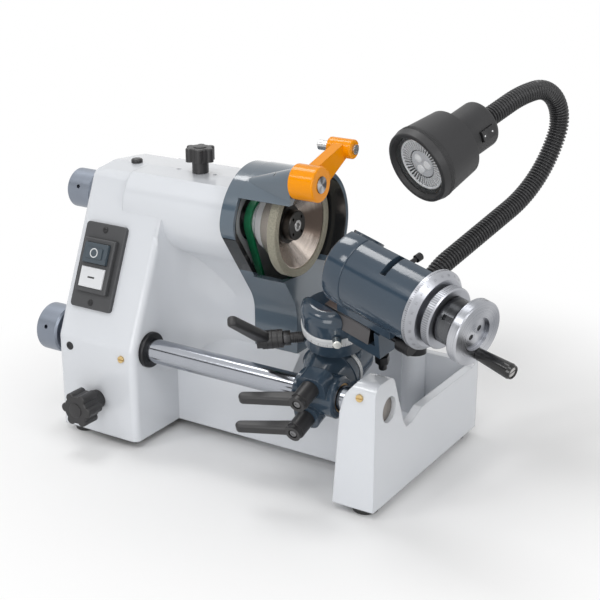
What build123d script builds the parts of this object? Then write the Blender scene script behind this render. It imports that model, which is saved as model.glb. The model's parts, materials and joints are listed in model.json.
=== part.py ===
from build123d import *
import os
from math import atan2, cos, degrees, hypot, radians, sin, sqrt, tan

os.makedirs("parts", exist_ok=True)

# Lengths are millimetres. The machine stands on z = 0. Its casting has a frame of its own: x runs along the
# guide bar, y runs to the back from the casting's rear face, z rises from the casting's underside.

# Place of the casting's frame in the part's frame
datum_x = -43.3
datum_y = 34.93
foot_height = 8.0

# Running and seating clearances
running = 0.03
seat = 0.05
free = 0.3

# Casting
casting_length = 377.0
casting_depth = 222.0
wall = 9.0
block_width = 100.0
kink_height = 100.0
slope_angle = 23.0
crest_rise = 38.0
crest_fall = 4.5
rear_crest_setback = 51.0
rear_kink_height = 190.0
block_edge_radius = 7.0
recess_depth = 72.0
ledge_low = 62.0
ledge_high = 92.0
neck_front_offset = 2.0
neck_straight_drop = 88.5
join_x = -10.0
lower_block_right = 45.0
sweep_radius = 56.0
tray_floor = 10.0
tray_back_height = 75.0
tray_side_height = 72.0
motor_room_top = 178.0
motor_room_offset = 11.0

# Pillar that carries the right end of the bar
pillar_width = 44.0
pillar_depth = 56.0
pillar_height = 126.0
pillar_draft = 7.0
pillar_crown_radius = 24.0

# Guide bar
bar_setback = 27.0
bar_z = 95.0
bar_radius = 12.5
bar_left = -145.0
bar_right = 184.0
collar_radius = 18.5
collar_length = 5.0
bar_boss_radius = 20.0
bar_boss_length = 62.0
bar_screw_radius = 5.0
bar_screw_reach = 80.0
bar_knob_radius = 25.0
bar_knob_length = 28.0
knob_hub_length = 4.5

# Grinding spindle and quill
spindle_setback = 101.0
spindle_z = 228.5
quill_housing_radius = 47.0
quill_radius = 23.0
quill_left = -140.0
quill_travel = 2.0
quill_nut_length = 15.0
quill_screw_radius = 6.0
quill_screw_reach = 62.0
quill_knob_radius = 21.0
quill_knob_length = 32.0
quill_knob_hub_length = 16.0
bearing_radius = 15.0
bearing_width = 14.0
shaft_radius = 7.5
shaft_relief = 1.5
nose_radius = 10.0
pulley_left = -6.0
belt_width = 7.6
belt_thickness = 3.0
spindle_pulley_radius = 20.0
pulley_width = 10.0
pulley_hub_radius = 17.0
pulley_hub_length = 16.0
pulley_flange_radius = 27.5
pulley_flange_width = 10.0

# Cup wheel
wheel_radius = 50.0
wheel_back_radius = 32.0
wheel_depth = 28.8
rim_width = 7.5
rim_depth = 9.0
wheel_web = 10.0
wheel_cup_radius = 19.5
flange_radius = 19.0
flange_hub_radius = 15.0
flange_length = 13.0
wheel_bolt_radius = 4.0
wheel_bolt_head_radius = 5.7
wheel_bolt_reach = 24.0

# Motor
motor_y = -57.0
motor_z = 112.0
motor_radius = 46.0
motor_length = 128.0
motor_flange = 90.0
motor_flange_thickness = 8.0
motor_shaft_radius = 7.0
motor_pulley_radius = 36.0
end_wall = 10.0

# Wheel guard
guard_radius = 58.0
guard_wall = 5.0
guard_right = 67.0
guard_neck_right = 41.5
guard_strip = 16.0
window_top_rise = 33.5
window_bottom_drop = 52.5
guard_neck_drop = 86.5
guard_neck_bend = 45.0
guard_shoulder_bend = 25.0
guard_rear_y = -6.0
guard_rear_drop = 78.5
hood_tail_offset = 37.0

# Wheel dresser
dresser_offset = -35.0
dresser_rise = 55.5
dresser_shaft_radius = 8.0
dresser_pivot_radius = 5.0
dresser_pivot_length = 22.0
dresser_boss_radius = 13.0
dresser_hub_radius = 17.0
dresser_hub_length = 27.0
dresser_arm_reach = 62.0
dresser_park_angle = 21.0
dresser_web = 11.0
dresser_web_end_radius = 7.5
diamond_boss_radius = 9.5
diamond_boss_length = 27.0
diamond_holder_radius = 4.9
diamond_clearance = 0.5

# Switch panel
panel_x = -151.0
panel_z = 171.5
switch_plate_width = 52.0
switch_plate_height = 89.0
switch_plate_thickness = 4.5
switch_body_width = 40.0
switch_body_height = 56.0
switch_body_rise = 10.0
switch_body_depth = 26.0
button_width = 30.0
button_height = 21.0
button_pitch = 25.0
button_rise = 3.0
button_travel = 3.0
button_depth = 12.0

# Knobs with six lobes
star_lobes = 6
lock_knob_x = -73.0
lock_knob_radius = 15.0
front_knob_x = -138.0
front_knob_z = 38.5
front_knob_radius = 18.0
star_stud_radius = 4.0

# Small fittings on the casting
plug_x = -155.0
plug_radius = 6.0
oil_hole_places = (-100.0, -55.0)
oil_hole_radius = 2.0
brass_screw_radius = 3.5
brass_front_x = -104.0
brass_pillar_z = 116.0
foot_radius = 14.0
foot_inset = 18.0
foot_boss_radius = 15.0
foot_stud_radius = 4.0
foot_stud_length = 18.0
plate_thickness = 3.0

# Work-head carriage, in a frame that lies on the bar and leans with the carriage
carriage_x = 109.0
carriage_lean = 18.0
bush_wall = 1.5
sleeve_radius = 20.5
sleeve_left = -15.0
sleeve_right = 30.0
hub_root_radius = 18.0
hub_radius = 28.5
hub_rim_radius = 30.0
hub_rim_start = 28.5
hub_rim_end = 33.5
hub_face = 39.5
upper_lever_x = 9.0
lower_lever_x = 2.0
lever_rise = 20.0
lever_drop = 12.5
lug_front = -24.0
upper_lug_front = -18.0
lug_half_height = 30.0
lug_half_width = 15.0
slit = 2.0

# Tilting elbow, in a frame at the crossing of the tilt axis and the swivel axis
elbow_reach = 47.0
elbow_tilt = 5.0
scale_width = 4.0
tilt_scale_radius = 27.8
elbow_hub_radius = 27.0
elbow_back = 26.0
elbow_disc_radius = 31.0
elbow_disc_low = 31.0
elbow_top = 44.2
elbow_post_radius = 24.0
pivot_radius = 10.0
pivot_length = 24.0

# Swivelling slide, in a frame on the swivel axis turned with the head
swivel_turn = 16.0
swivel_scale_radius = 32.5
slide_base_radius = 31.5
slide_base_height = 29.5
slide_base_crown = 12.0
dovetail_depth = 14.0
dovetail_top = 26.0
dovetail_bottom = 34.0
slide_left = 2.0
slide_right = 60.0
slide_rise = 2.0
feed_arm_half_width = 13.0
feed_arm_thickness = 12.0
bracket_gap = 4.5
bracket_thickness = 6.0
feed_rod_radius = 3.5
feed_knob_radius = 8.5
feed_knob_length = 15.0
feed_rod_length = 14.0
stop_bolt_x = 60.0
stop_bolt_radius = 4.0
stop_bolt_length = 25.0
index_height = 5.0
index_angle = -42.0

# Work head
head_axis_height = 79.0
head_radius = 34.5
head_left = 22.0
head_right = 122.0
head_bore_radius = 22.0
saddle_left = 18.0
saddle_right = 84.0
saddle_half_width = 12.5
head_slot_x = 86.0
head_slot_width = 6.5
head_slot_half_length = 13.0
head_flat = 28.1
head_flat_turn = -47.0
head_boss_x = 31.0
head_boss_radius = 15.0
head_boss_rise = 2.5
collet_nose_length = 10.0
collet_radius = 15.0
collet_bore_radius = 8.0
work_spindle_radius = 21.97
index_ring_radius = 36.5
index_ring_face_radius = 31.0
index_ring_rim = 4.0
index_ring_length = 10.0
lock_ring_radius = 28.0
lock_ring_length = 9.0
ring_gap = 3.0
draw_nut_radius = 17.0
draw_nut_length = 14.0
handwheel_radius = 29.0
handwheel_width = 10.0
handwheel_hub_radius = 15.0
handwheel_dish = 3.0
spanner_hole_radius = 2.6
spanner_hole_pitch = 11.0
handle_offset = 21.0
handle_root_radius = 5.2
handle_end_radius = 7.0
handle_length = 37.0
handle_pin_radius = 3.0
handle_head_radius = 4.4
clamp_screw_height = 22.0
clamp_screw_radius = 2.2
clamp_screw_head_radius = 3.6
clamp_screw_reach = 12.0

# Clamping levers
lever_hub_radius = 9.0
lever_hub_length = 25.0
lever_stud_radius = 3.5
lever_arm_length = 53.0
lever_arm_root = 8.5
lever_arm_tip = 6.0
lever_arm_thickness = 10.0
lever_arm_lift = 20.0
lever_arm_round = 3.0
lever_cap_length = 5.0
lever_hub_step = 1.0
lever_socket_radius = 4.6
lever_socket_depth = 2.0
swivel_lever_angle = 31.5
swivel_lever_reach = 20.0
swivel_lever_drop = 3.2
lever_lean = 0.24
swivel_lever_lean = 0.42

# Lamp on a ribbed gooseneck that bends in one upright plane
lamp_x = 121.0
lamp_y = -14.0
lamp_plane_angle = 70.0
lamp_socket_radius = 13.0
lamp_socket_height = 24.0
neck_radius = 10.6
neck_groove = 1.8
neck_bore_radius = 6.5
neck_ribs = 128
neck_start = 14.0
neck_rise = 10.0
neck_lower_radius = 75.5
neck_lower_turn = 66.0
neck_middle_run = 97.0
neck_middle_radius = 132.0
neck_middle_turn = 45.0
neck_upper_radius = 38.7
neck_upper_turn = 115.5
neck_last_radius = 140.0
neck_last_turn = 16.5
neck_end_run = 51.0
lamp_rear_radius = 25.5
lamp_rear_length = 40.0
lamp_shoulder_radius = 36.5
lamp_rim_radius = 40.3
lamp_front_radius = 36.8
lamp_front_length = 47.0
lamp_cone_length = 4.0
lamp_overlap = 9.0
lamp_wall = 3.0
bezel_radius = 40.6
bezel_front_radius = 38.8
bezel_bevel_length = 8.0
bezel_length = 14.0
bezel_lip = 4.0
lens_opening_radius = 32.0
lens_thickness = 2.0
rocker_length = 17.0
rocker_width = 11.0
rocker_place = 9.0
rocker_angle = 4.0
rocker_pivot_radius = 1.0
rocker_pivot_drop = 2.8

# Sizes that follow from the ones above
half_length = casting_length / 2
front_y = -casting_depth
bar_y = front_y + bar_setback
spindle_y = front_y + spindle_setback
crest_height = spindle_z + crest_rise
shoulder_height = crest_height - crest_fall
rear_crest_y = spindle_y + rear_crest_setback
neck_front_y = spindle_y + neck_front_offset
neck_straight_height = spindle_z - neck_straight_drop
motor_room_front_y = spindle_y + motor_room_offset
window_top_height = spindle_z + window_top_rise
window_bottom_height = spindle_z - window_bottom_drop
guard_neck_height = spindle_z - guard_neck_drop
guard_rear_height = spindle_z - guard_rear_drop
hood_tail_y = spindle_y + hood_tail_offset
dresser_y = spindle_y + dresser_offset
dresser_z = spindle_z + dresser_rise
block_right = block_width - half_length
recess_y = front_y + recess_depth
shoulder_y = front_y + (shoulder_height - kink_height) * tan(radians(slope_angle))
pillar_left = half_length - pillar_width
pillar_back_y = front_y + pillar_depth
ALONG = (Align.CENTER, Align.CENTER, Align.MIN)
CORNER = (Align.MIN, Align.MIN, Align.MIN)


def across(frame, x):
    """Sketch plane at a given x of a frame, drawn in that frame's y and z."""
    return Plane(origin=frame.from_local_coords((x, 0, 0)), x_dir=frame.y_dir, z_dir=frame.x_dir)


def facing(frame, y):
    """Sketch plane at a given y of a frame, drawn in x and z and growing to the front."""
    return Plane(origin=frame.from_local_coords((0, y, 0)), x_dir=frame.x_dir, z_dir=frame.y_dir * -1)


def level(frame, z):
    """Sketch plane at a given height of a frame."""
    return Plane(origin=frame.from_local_coords((0, 0, z)), x_dir=frame.x_dir, z_dir=frame.z_dir)


def axle(frame, y, z):
    """Line along a frame's x at a given y and z: a plane whose own z is the line."""
    return Plane(origin=frame.from_local_coords((0, y, z)), x_dir=frame.y_dir, z_dir=frame.x_dir)


def moved(frame, place, turn=(0, 0, 0)):
    """Frame set at a place of another frame and turned there about its axes."""
    return Plane(frame.location * Location(place, turn))


def rod(line, start, stop, radius, mode=Mode.ADD):
    """Cylinder on a line between two stations."""
    with Locations(line.offset(start)):
        Cylinder(radius, stop - start, align=ALONG, mode=mode)


def cone(line, start, stop, radius, end_radius, mode=Mode.ADD):
    """Cone on a line between two stations."""
    with Locations(line.offset(start)):
        Cone(radius, end_radius, stop - start, align=ALONG, mode=mode)


def block(frame, low, high, mode=Mode.ADD):
    """Box between two corners of a frame."""
    with Locations(moved(frame, low)):
        Box(high[0] - low[0], high[1] - low[1], high[2] - low[2], align=CORNER, mode=mode)


def neck_tangent(radius, straight_height):
    """Point where the neck's hollow sweep runs into a circle about the spindle."""
    offset = neck_front_y - spindle_y
    rise = spindle_z - straight_height
    sweep = (offset**2 + rise**2 - radius**2) / (2 * (radius + offset))
    span = radius + sweep
    return (spindle_y + radius * (offset - sweep) / span, spindle_z - radius * rise / span)


def on_spindle_circle(radius, angle):
    """Point of a circle about the spindle, the angle counted from the back upwards."""
    return (spindle_y + radius * cos(radians(angle)), spindle_z + radius * sin(radians(angle)))


machine = Plane(origin=(datum_x, datum_y, foot_height))
bar_line = axle(machine, bar_y, bar_z)
spindle_line = axle(machine, spindle_y, spindle_z)
motor_line = axle(machine, motor_y, motor_z)
dresser_line = axle(machine, dresser_y, dresser_z)
panel_y = front_y + (panel_z - kink_height) * tan(radians(slope_angle))
panel = Plane(
    origin=machine.from_local_coords((panel_x, panel_y, panel_z)),
    x_dir=(1, 0, 0),
    z_dir=(0, -cos(radians(slope_angle)), sin(radians(slope_angle))),
)
foot_x = half_length - foot_inset
foot_places = [
    (side * foot_x, y) for side in (-1, 1) for y in (front_y + foot_inset, -foot_inset)
]
front_knob_line = Plane(
    origin=machine.from_local_coords((front_knob_x, front_y, front_knob_z)), x_dir=(1, 0, 0), z_dir=(0, -1, 0)
)
lock_stud_length = crest_height - spindle_z - quill_radius - 2
lock_knob_line = moved(machine, (lock_knob_x, spindle_y, crest_height))
plug_line = moved(machine, (plug_x, spindle_y, crest_height))
brass_lines = [
    Plane(origin=machine.from_local_coords((x, front_y, z)), x_dir=(1, 0, 0), z_dir=(0, -1, 0))
    for x, z in ((brass_front_x, kink_height - 10), (half_length - 16, brass_pillar_z - 3))
]
lamp_foot = moved(machine, (lamp_x, lamp_y, tray_back_height))

# Frames of the work head, each carried by the one before
carriage_frame = moved(machine, (carriage_x, bar_y, bar_z), (carriage_lean, 0, 0))
elbow_frame = moved(carriage_frame, (0, elbow_reach, 0), (0, elbow_tilt, 0))
swivel_height = elbow_top + free + scale_width
swivel_frame = moved(elbow_frame, (0, 0, swivel_height), (0, 0, -swivel_turn))
sleeve_line = axle(carriage_frame, 0, 0)
tilt_line = Plane(origin=elbow_frame.origin, x_dir=elbow_frame.x_dir, z_dir=elbow_frame.y_dir)
swivel_line = moved(elbow_frame, (0, 0, 0))
head_line = axle(swivel_frame, 0, head_axis_height)
handle_line = axle(swivel_frame, 0, head_axis_height - handle_offset)
scale_start = hub_face + free - elbow_reach
elbow_start = scale_start + scale_width

# Pillar: a front outline and a side outline that share one body
with BuildPart() as pillar:
    with BuildSketch(facing(machine, recess_y)):
        with BuildLine():
            Polyline(
                (pillar_left, 0),
                (pillar_left + pillar_draft, bar_z),
                (pillar_left + 1.7 * pillar_draft, bar_z + bar_radius + 5),
                (pillar_left + 3.2 * pillar_draft, pillar_height),
                (half_length, pillar_height),
                (half_length, 0),
                close=True,
            )
        make_face()
    extrude(amount=recess_depth)
    with BuildSketch(across(machine, pillar_left - 1)) as side:
        with BuildLine():
            Polyline(
                (front_y, 0),
                (front_y, pillar_height),
                (front_y + 34, pillar_height),
                (pillar_back_y, tray_side_height),
                (pillar_back_y + 6, ledge_low + 2),
                (recess_y, ledge_low + 2),
                (recess_y, 0),
                close=True,
            )
        make_face()
        fillet(side.vertices().sort_by(Axis.Y)[-2:], pillar_crown_radius / 2)
    extrude(amount=pillar_width + 2, mode=Mode.INTERSECT)

# Hollow sweep between the headstock block and the neck, under the block's slope
with BuildPart() as hollow_sweep:
    with BuildSketch(level(machine, ledge_low)):
        with BuildLine():
            RadiusArc(
                (block_right, neck_front_y - sweep_radius),
                (block_right + sweep_radius, neck_front_y),
                sweep_radius,
            )
            Polyline(
                (block_right + sweep_radius, neck_front_y),
                (block_right + sweep_radius, neck_front_y + 4),
                (block_right - 4, neck_front_y + 4),
                (block_right - 4, neck_front_y - sweep_radius),
                (block_right, neck_front_y - sweep_radius),
            )
        make_face()
    extrude(amount=shoulder_height - ledge_low)
    with BuildSketch(across(machine, block_right - 5)):
        with BuildLine():
            Polyline(
                (front_y, 0),
                (front_y, kink_height),
                (shoulder_y + 0.2, shoulder_height),
                (spindle_y, shoulder_height),
                (0, 0),
                close=True,
            )
        make_face()
    extrude(amount=sweep_radius + 10, mode=Mode.INTERSECT)

# Casting: headstock block, quill housing with its neck, tray and pillar in one piece
with BuildPart() as base_casting:
    with BuildSketch(across(machine, -half_length)) as side:
        with BuildLine():
            Polyline(
                (front_y, 0),
                (front_y, kink_height),
                (shoulder_y, shoulder_height),
                (spindle_y, crest_height),
                (rear_crest_y, shoulder_height),
                (0, rear_kink_height),
                (0, 0),
                close=True,
            )
        make_face()
        fillet(side.vertices().filter_by_position(Axis.Y, 1, crest_height + 1), 12)
    extrude(amount=block_width)
    fillet(
        base_casting.faces().sort_by(Axis.X)[0].edges().filter_by_position(Axis.Z, foot_height + 1, 999),
        block_edge_radius,
    )
    front_edges = base_casting.faces().sort_by(Axis.X)[-1].edges()
    fillet(
        front_edges.filter_by_position(Axis.Y, datum_y + front_y - 1, datum_y + shoulder_y + 2),
        block_edge_radius,
    )
    edge_rise = crest_height - 1.5 - spindle_z
    housing_edge = (spindle_y - sqrt(quill_housing_radius**2 - edge_rise**2), spindle_z + edge_rise)
    tangent_point = neck_tangent(quill_housing_radius, neck_straight_height)
    with BuildSketch(across(machine, block_right - block_width / 2)):
        with BuildLine():
            Polyline(
                (neck_front_y, ledge_low),
                (neck_front_y, neck_straight_height),
            )
            TangentArc((neck_front_y, neck_straight_height), tangent_point, tangent=(0, 1))
            ThreePointArc(tangent_point, on_spindle_circle(quill_housing_radius, 180), housing_edge)
            Polyline(
                housing_edge,
                (spindle_y, crest_height),
                (rear_crest_y, shoulder_height),
                (0, rear_kink_height),
                (0, ledge_low),
                (neck_front_y, ledge_low),
            )
        make_face()
    extrude(amount=join_x - block_right + block_width / 2)
    with BuildSketch(across(machine, block_right - block_width / 2)):
        with BuildLine():
            Polyline(
                (recess_y, 0),
                (recess_y, ledge_low),
                (neck_front_y, ledge_high),
                (0, ledge_high),
                (0, 0),
                close=True,
            )
        make_face()
    extrude(amount=lower_block_right - block_right + block_width / 2)
    add(hollow_sweep.part)
    add(pillar.part)
    block(machine, (block_right, recess_y, 0), (pillar_left + pillar_draft, recess_y + wall, ledge_low))
    block(machine, (block_right, recess_y, 0), (half_length, 0, tray_floor))
    block(machine, (block_right, -wall, 0), (half_length, 0, tray_back_height))
    with BuildSketch(across(machine, half_length - wall)):
        with BuildLine():
            Polyline(
                (recess_y, 0),
                (recess_y, ledge_low + 2),
                (recess_y + 22, tray_side_height),
                (-12, tray_side_height),
                (-wall, tray_back_height),
                (0, tray_back_height),
                (0, 0),
                close=True,
            )
        make_face()
    extrude(amount=wall)
    rod(lamp_foot, -tray_back_height, 0, lamp_socket_radius)
    # Motor room, open below
    inner_slope = wall / cos(radians(slope_angle))
    slope_run = (motor_room_top - kink_height) * tan(radians(slope_angle))
    with BuildSketch(across(machine, wall - half_length)):
        with BuildLine():
            Polyline(
                (front_y + wall, -1),
                (front_y + wall, kink_height - 2),
                (front_y + slope_run + inner_slope, motor_room_top),
                (-wall, motor_room_top),
                (-wall, -1),
                close=True,
            )
        make_face()
    extrude(amount=block_width - 2 * wall, mode=Mode.SUBTRACT)
    block(
        machine,
        (-half_length + wall, motor_room_front_y, -1),
        (join_x - end_wall, -wall, motor_room_top),
        Mode.SUBTRACT,
    )
    block(
        machine,
        (join_x, motor_room_front_y, motor_z - motor_pulley_radius - 14),
        (lower_block_right - wall, -wall, ledge_high + 1),
        Mode.SUBTRACT,
    )
    rod(motor_line, join_x - end_wall - 1, join_x + 1, motor_shaft_radius + wall, Mode.SUBTRACT)
    # Bosses inside the room, then their bores
    rod(bar_line, block_right - bar_boss_length, block_right, bar_boss_radius)
    block(
        machine,
        (block_right - bar_boss_length, front_y + wall / 2, bar_z - 6),
        (block_right - wall / 2, bar_y, bar_z + 6),
    )
    rod(bar_line, block_right - bar_boss_length - 1, block_right + 1, bar_radius + running, Mode.SUBTRACT)
    rod(bar_line, pillar_left - 1, half_length + 1, bar_radius + running, Mode.SUBTRACT)
    rod(bar_line, -half_length - 1, wall - half_length + 1, bar_screw_radius + free, Mode.SUBTRACT)
    rod(spindle_line, quill_left - quill_travel - 2, join_x + 1, quill_radius, Mode.SUBTRACT)
    rod(spindle_line, -half_length - 1, quill_left, quill_screw_radius + free, Mode.SUBTRACT)
    for place in foot_places:
        foot_line = moved(machine, (place[0], place[1], 0))
        rod(foot_line, 0, foot_stud_length + 12, foot_boss_radius)
        rod(foot_line, -1, foot_stud_length + 1, foot_stud_radius + seat, Mode.SUBTRACT)
    block(
        panel,
        (-switch_body_width / 2 - seat, -switch_body_height / 2 - seat, -switch_body_depth - 2),
        (switch_body_width / 2 + seat, switch_body_height / 2 + seat, 20),
        Mode.SUBTRACT,
    )
    rod(front_knob_line, -wall - 1, 1, star_stud_radius + free, Mode.SUBTRACT)
    rod(lock_knob_line, -lock_stud_length - 2, 10, star_stud_radius + free, Mode.SUBTRACT)
    rod(plug_line, -12, 10, plug_radius / 2 + seat, Mode.SUBTRACT)
    for x in oil_hole_places:
        rod(moved(machine, (x, spindle_y, crest_height)), -6, 10, oil_hole_radius, Mode.SUBTRACT)
    for line in brass_lines:
        rod(line, -8, 1, brass_screw_radius + seat, Mode.SUBTRACT)

base_casting.part.label = "base_casting"
export_step(base_casting.part, "parts/base_casting.step")
print("casting volume", round(base_casting.part.volume), "solids", len(base_casting.part.solids()))

# Plate under the motor room
with BuildPart() as bottom_plate:
    block(
        machine,
        (wall / 2 - half_length, front_y + wall / 2, -plate_thickness),
        (block_right - wall / 2, -wall / 2, 0),
    )
    block(
        machine,
        (block_right - wall / 2, recess_y + wall, -plate_thickness),
        (join_x, -wall / 2, 0),
    )
    for place in foot_places:
        foot_frame = moved(machine, (place[0], place[1], 0))
        half_notch = foot_radius + 1
        block(
            foot_frame,
            (-half_notch, -half_notch, -plate_thickness - 1),
            (half_notch, half_notch, 1),
            Mode.SUBTRACT,
        )

bottom_plate.part.label = "bottom_plate"
export_step(bottom_plate.part, "parts/bottom_plate.step")

# Four rubber feet with moulded studs
with BuildPart() as rubber_feet:
    for place in foot_places:
        foot_line = moved(machine, (place[0], place[1], 0))
        cone(foot_line, -foot_height, 0, foot_radius - 2, foot_radius)
        rod(foot_line, 0, foot_stud_length, foot_stud_radius)

rubber_feet.part.label = "rubber_feet"
export_step(rubber_feet.part, "parts/rubber_feet.step")

# Collar where the bar leaves the headstock
with BuildPart() as bar_collar:
    rod(bar_line, block_right, block_right + collar_length, collar_radius)
    fillet(bar_collar.faces().sort_by(Axis.X)[-1].edges(), 2)
    rod(bar_line, block_right - 1, block_right + collar_length + 1, bar_radius + running, Mode.SUBTRACT)

bar_collar.part.label = "bar_collar"
export_step(bar_collar.part, "parts/bar_collar.step")

# Slotted brass screws, one in the headstock and one in the pillar
with BuildPart() as brass_screws:
    for line in brass_lines:
        rod(line, -7.5, 2, brass_screw_radius)
        block(line, (-5, -0.5, 1), (5, 0.5, 3), Mode.SUBTRACT)

brass_screws.part.label = "brass_screws"
export_step(brass_screws.part, "parts/brass_screws.step")

# Domed plug of the oil bore
with BuildPart() as oil_plug:
    rod(plug_line, 0.1, 4, plug_radius)
    fillet(oil_plug.faces().sort_by(Axis.Z)[-1].edges(), 2)
    rod(plug_line, -10, 0.1, plug_radius / 2)

oil_plug.part.label = "oil_plug"
export_step(oil_plug.part, "parts/oil_plug.step")

# Guide bar with the thread for its feed screw
with BuildPart() as guide_bar:
    rod(bar_line, bar_left, bar_right, bar_radius)
    chamfer(guide_bar.edges().filter_by(GeomType.CIRCLE), 1)
    rod(bar_line, bar_left - 1, bar_left + 45, bar_screw_radius + free, Mode.SUBTRACT)

guide_bar.part.label = "guide_bar"
export_step(guide_bar.part, "parts/guide_bar.step")


def hand_knob(line, hub_radius, hub_length, knob_radius, knob_length, screw_radius, screw_reach):
    """Turned knob outside the casting's left wall, with the feed screw that it drives."""
    with BuildPart() as knob:
        start = -half_length - free
        rod(line, start - hub_length - knob_length, start - hub_length, knob_radius)
        chamfer(knob.edges().filter_by(GeomType.CIRCLE), 2)
        rod(line, start - hub_length, start, hub_radius)
        rod(line, start, start + screw_reach, screw_radius)
        grip = Plane(
            origin=line.offset(start - hub_length - knob_length / 2).origin,
            x_dir=(1, 0, 0),
            z_dir=(0, -1, 0.35),
        )
        rod(grip, knob_radius - 8, knob_radius + 1, 2.2, Mode.SUBTRACT)
    return knob.part


bar_knob = hand_knob(
    bar_line, 14, knob_hub_length, bar_knob_radius, bar_knob_length, bar_screw_radius, bar_screw_reach
)
bar_knob.label = "bar_knob"
export_step(bar_knob, "parts/bar_knob.step")

quill_knob = hand_knob(
    spindle_line,
    12,
    quill_knob_hub_length,
    quill_knob_radius,
    quill_knob_length,
    quill_screw_radius,
    quill_screw_reach - 8,
)
quill_knob.label = "quill_knob"
export_step(quill_knob, "parts/quill_knob.step")

# Quill: sleeve that slides in the headstock and holds both spindle bearings
quill_right = join_x - 1
rear_bearing_left = quill_left + quill_nut_length
with BuildPart() as quill:
    rod(spindle_line, quill_left, quill_right, quill_radius - running)
    rod(spindle_line, quill_left - 1, rear_bearing_left, quill_screw_radius + free, Mode.SUBTRACT)
    rod(spindle_line, rear_bearing_left, quill_right + 1, bearing_radius - 2.5, Mode.SUBTRACT)
    rod(spindle_line, rear_bearing_left, rear_bearing_left + bearing_width, bearing_radius, Mode.SUBTRACT)
    rod(spindle_line, quill_right - bearing_width, quill_right + 1, bearing_radius, Mode.SUBTRACT)

quill.part.label = "quill"
export_step(quill.part, "parts/quill.step")

# Two ball bearings in the quill, each as a ring
with BuildPart() as spindle_bearings:
    for start in (rear_bearing_left, quill_right - bearing_width):
        rod(spindle_line, start + seat, start + bearing_width - seat, bearing_radius - seat)
        rod(spindle_line, start, start + bearing_width, shaft_radius + running, Mode.SUBTRACT)

spindle_bearings.part.label = "spindle_bearings"
export_step(spindle_bearings.part, "parts/spindle_bearings.step")

# Spindle: shaft in the bearings and a thicker nose for pulley and wheel
wheel_back = pulley_left + pulley_width + pulley_hub_length
nose_end = wheel_back + wheel_web + 6
with BuildPart() as spindle:
    rod(spindle_line, rear_bearing_left + 1, quill_right + free, shaft_radius)
    rod(
        spindle_line,
        rear_bearing_left + bearing_width + free,
        quill_right - bearing_width - free,
        shaft_radius + shaft_relief,
    )
    rod(spindle_line, quill_right + free, nose_end, nose_radius)
    rod(spindle_line, nose_end - 26, nose_end + 1, wheel_bolt_radius + seat, Mode.SUBTRACT)

spindle.part.label = "spindle"
export_step(spindle.part, "parts/spindle.step")

# Spindle pulley with a hub and a polished flange against the wheel
with BuildPart() as spindle_pulley:
    rod(spindle_line, pulley_left, pulley_left + pulley_width, spindle_pulley_radius)
    rod(spindle_line, pulley_left + pulley_width, wheel_back, pulley_hub_radius)
    rod(spindle_line, wheel_back - pulley_flange_width, wheel_back, pulley_flange_radius)
    chamfer(spindle_pulley.edges().filter_by(GeomType.CIRCLE).sort_by(SortBy.RADIUS)[-2:], 1)
    rod(spindle_line, pulley_left - 1, wheel_back + 1, nose_radius + seat, Mode.SUBTRACT)

spindle_pulley.part.label = "spindle_pulley"
export_step(spindle_pulley.part, "parts/spindle_pulley.step")

# Cup wheel: steel body turned about the spindle
wheel_face = wheel_back + wheel_depth
rim_start = wheel_face - rim_depth
rim_inner = wheel_radius - rim_width
spindle_section = Plane(origin=spindle_line.origin, x_dir=machine.x_dir, z_dir=machine.y_dir * -1)
spindle_axis = Axis(spindle_line.origin, spindle_line.z_dir)
with BuildPart() as wheel_body:
    with BuildSketch(spindle_section):
        with BuildLine():
            Polyline(
                (wheel_back + seat, nose_radius + seat),
                (wheel_back + seat, wheel_back_radius),
                (wheel_back + 2, wheel_back_radius + 2),
                (rim_start, wheel_radius - 3),
                (rim_start, rim_inner - 0.1),
                (wheel_face - 2, rim_inner - 0.1),
                (wheel_face - 2, rim_inner - 1.2),
                (wheel_back + wheel_web, wheel_cup_radius),
                (wheel_back + wheel_web, nose_radius + seat),
                close=True,
            )
        make_face()
    revolve(axis=spindle_axis)

wheel_body.part.label = "wheel_body"
export_step(wheel_body.part, "parts/wheel_body.step")

# Abrasive rim bonded to the cup
with BuildPart() as abrasive_rim:
    rod(spindle_line, rim_start + 0.05, wheel_face, wheel_radius)
    rod(spindle_line, rim_start - 1, wheel_face + 1, rim_inner, Mode.SUBTRACT)
    chamfer(abrasive_rim.faces().sort_by(Axis.X)[-1].edges(), 0.6)

abrasive_rim.part.label = "abrasive_rim"
export_step(abrasive_rim.part, "parts/abrasive_rim.step")

# Clamping flange of the wheel with four spanner holes
flange_start = wheel_back + wheel_web + seat
flange_end = flange_start + flange_length
with BuildPart() as wheel_flange:
    rod(spindle_line, flange_start, flange_start + 4, flange_radius)
    rod(spindle_line, flange_start + 4, flange_end, flange_hub_radius)
    chamfer(wheel_flange.faces().sort_by(Axis.X)[-1].edges(), 1)
    rod(spindle_line, flange_start - 1, nose_end + 0.2, nose_radius + seat, Mode.SUBTRACT)
    rod(spindle_line, nose_end, flange_end + 1, wheel_bolt_radius + seat, Mode.SUBTRACT)
    rod(spindle_line, flange_end - 5, flange_end + 1, wheel_bolt_head_radius + seat, Mode.SUBTRACT)
    with Locations(spindle_line.offset(flange_end)):
        with PolarLocations(flange_hub_radius - 4.4, 4, start_angle=45):
            Cylinder(1.7, 10, mode=Mode.SUBTRACT)

wheel_flange.part.label = "wheel_flange"
export_step(wheel_flange.part, "parts/wheel_flange.step")

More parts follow.
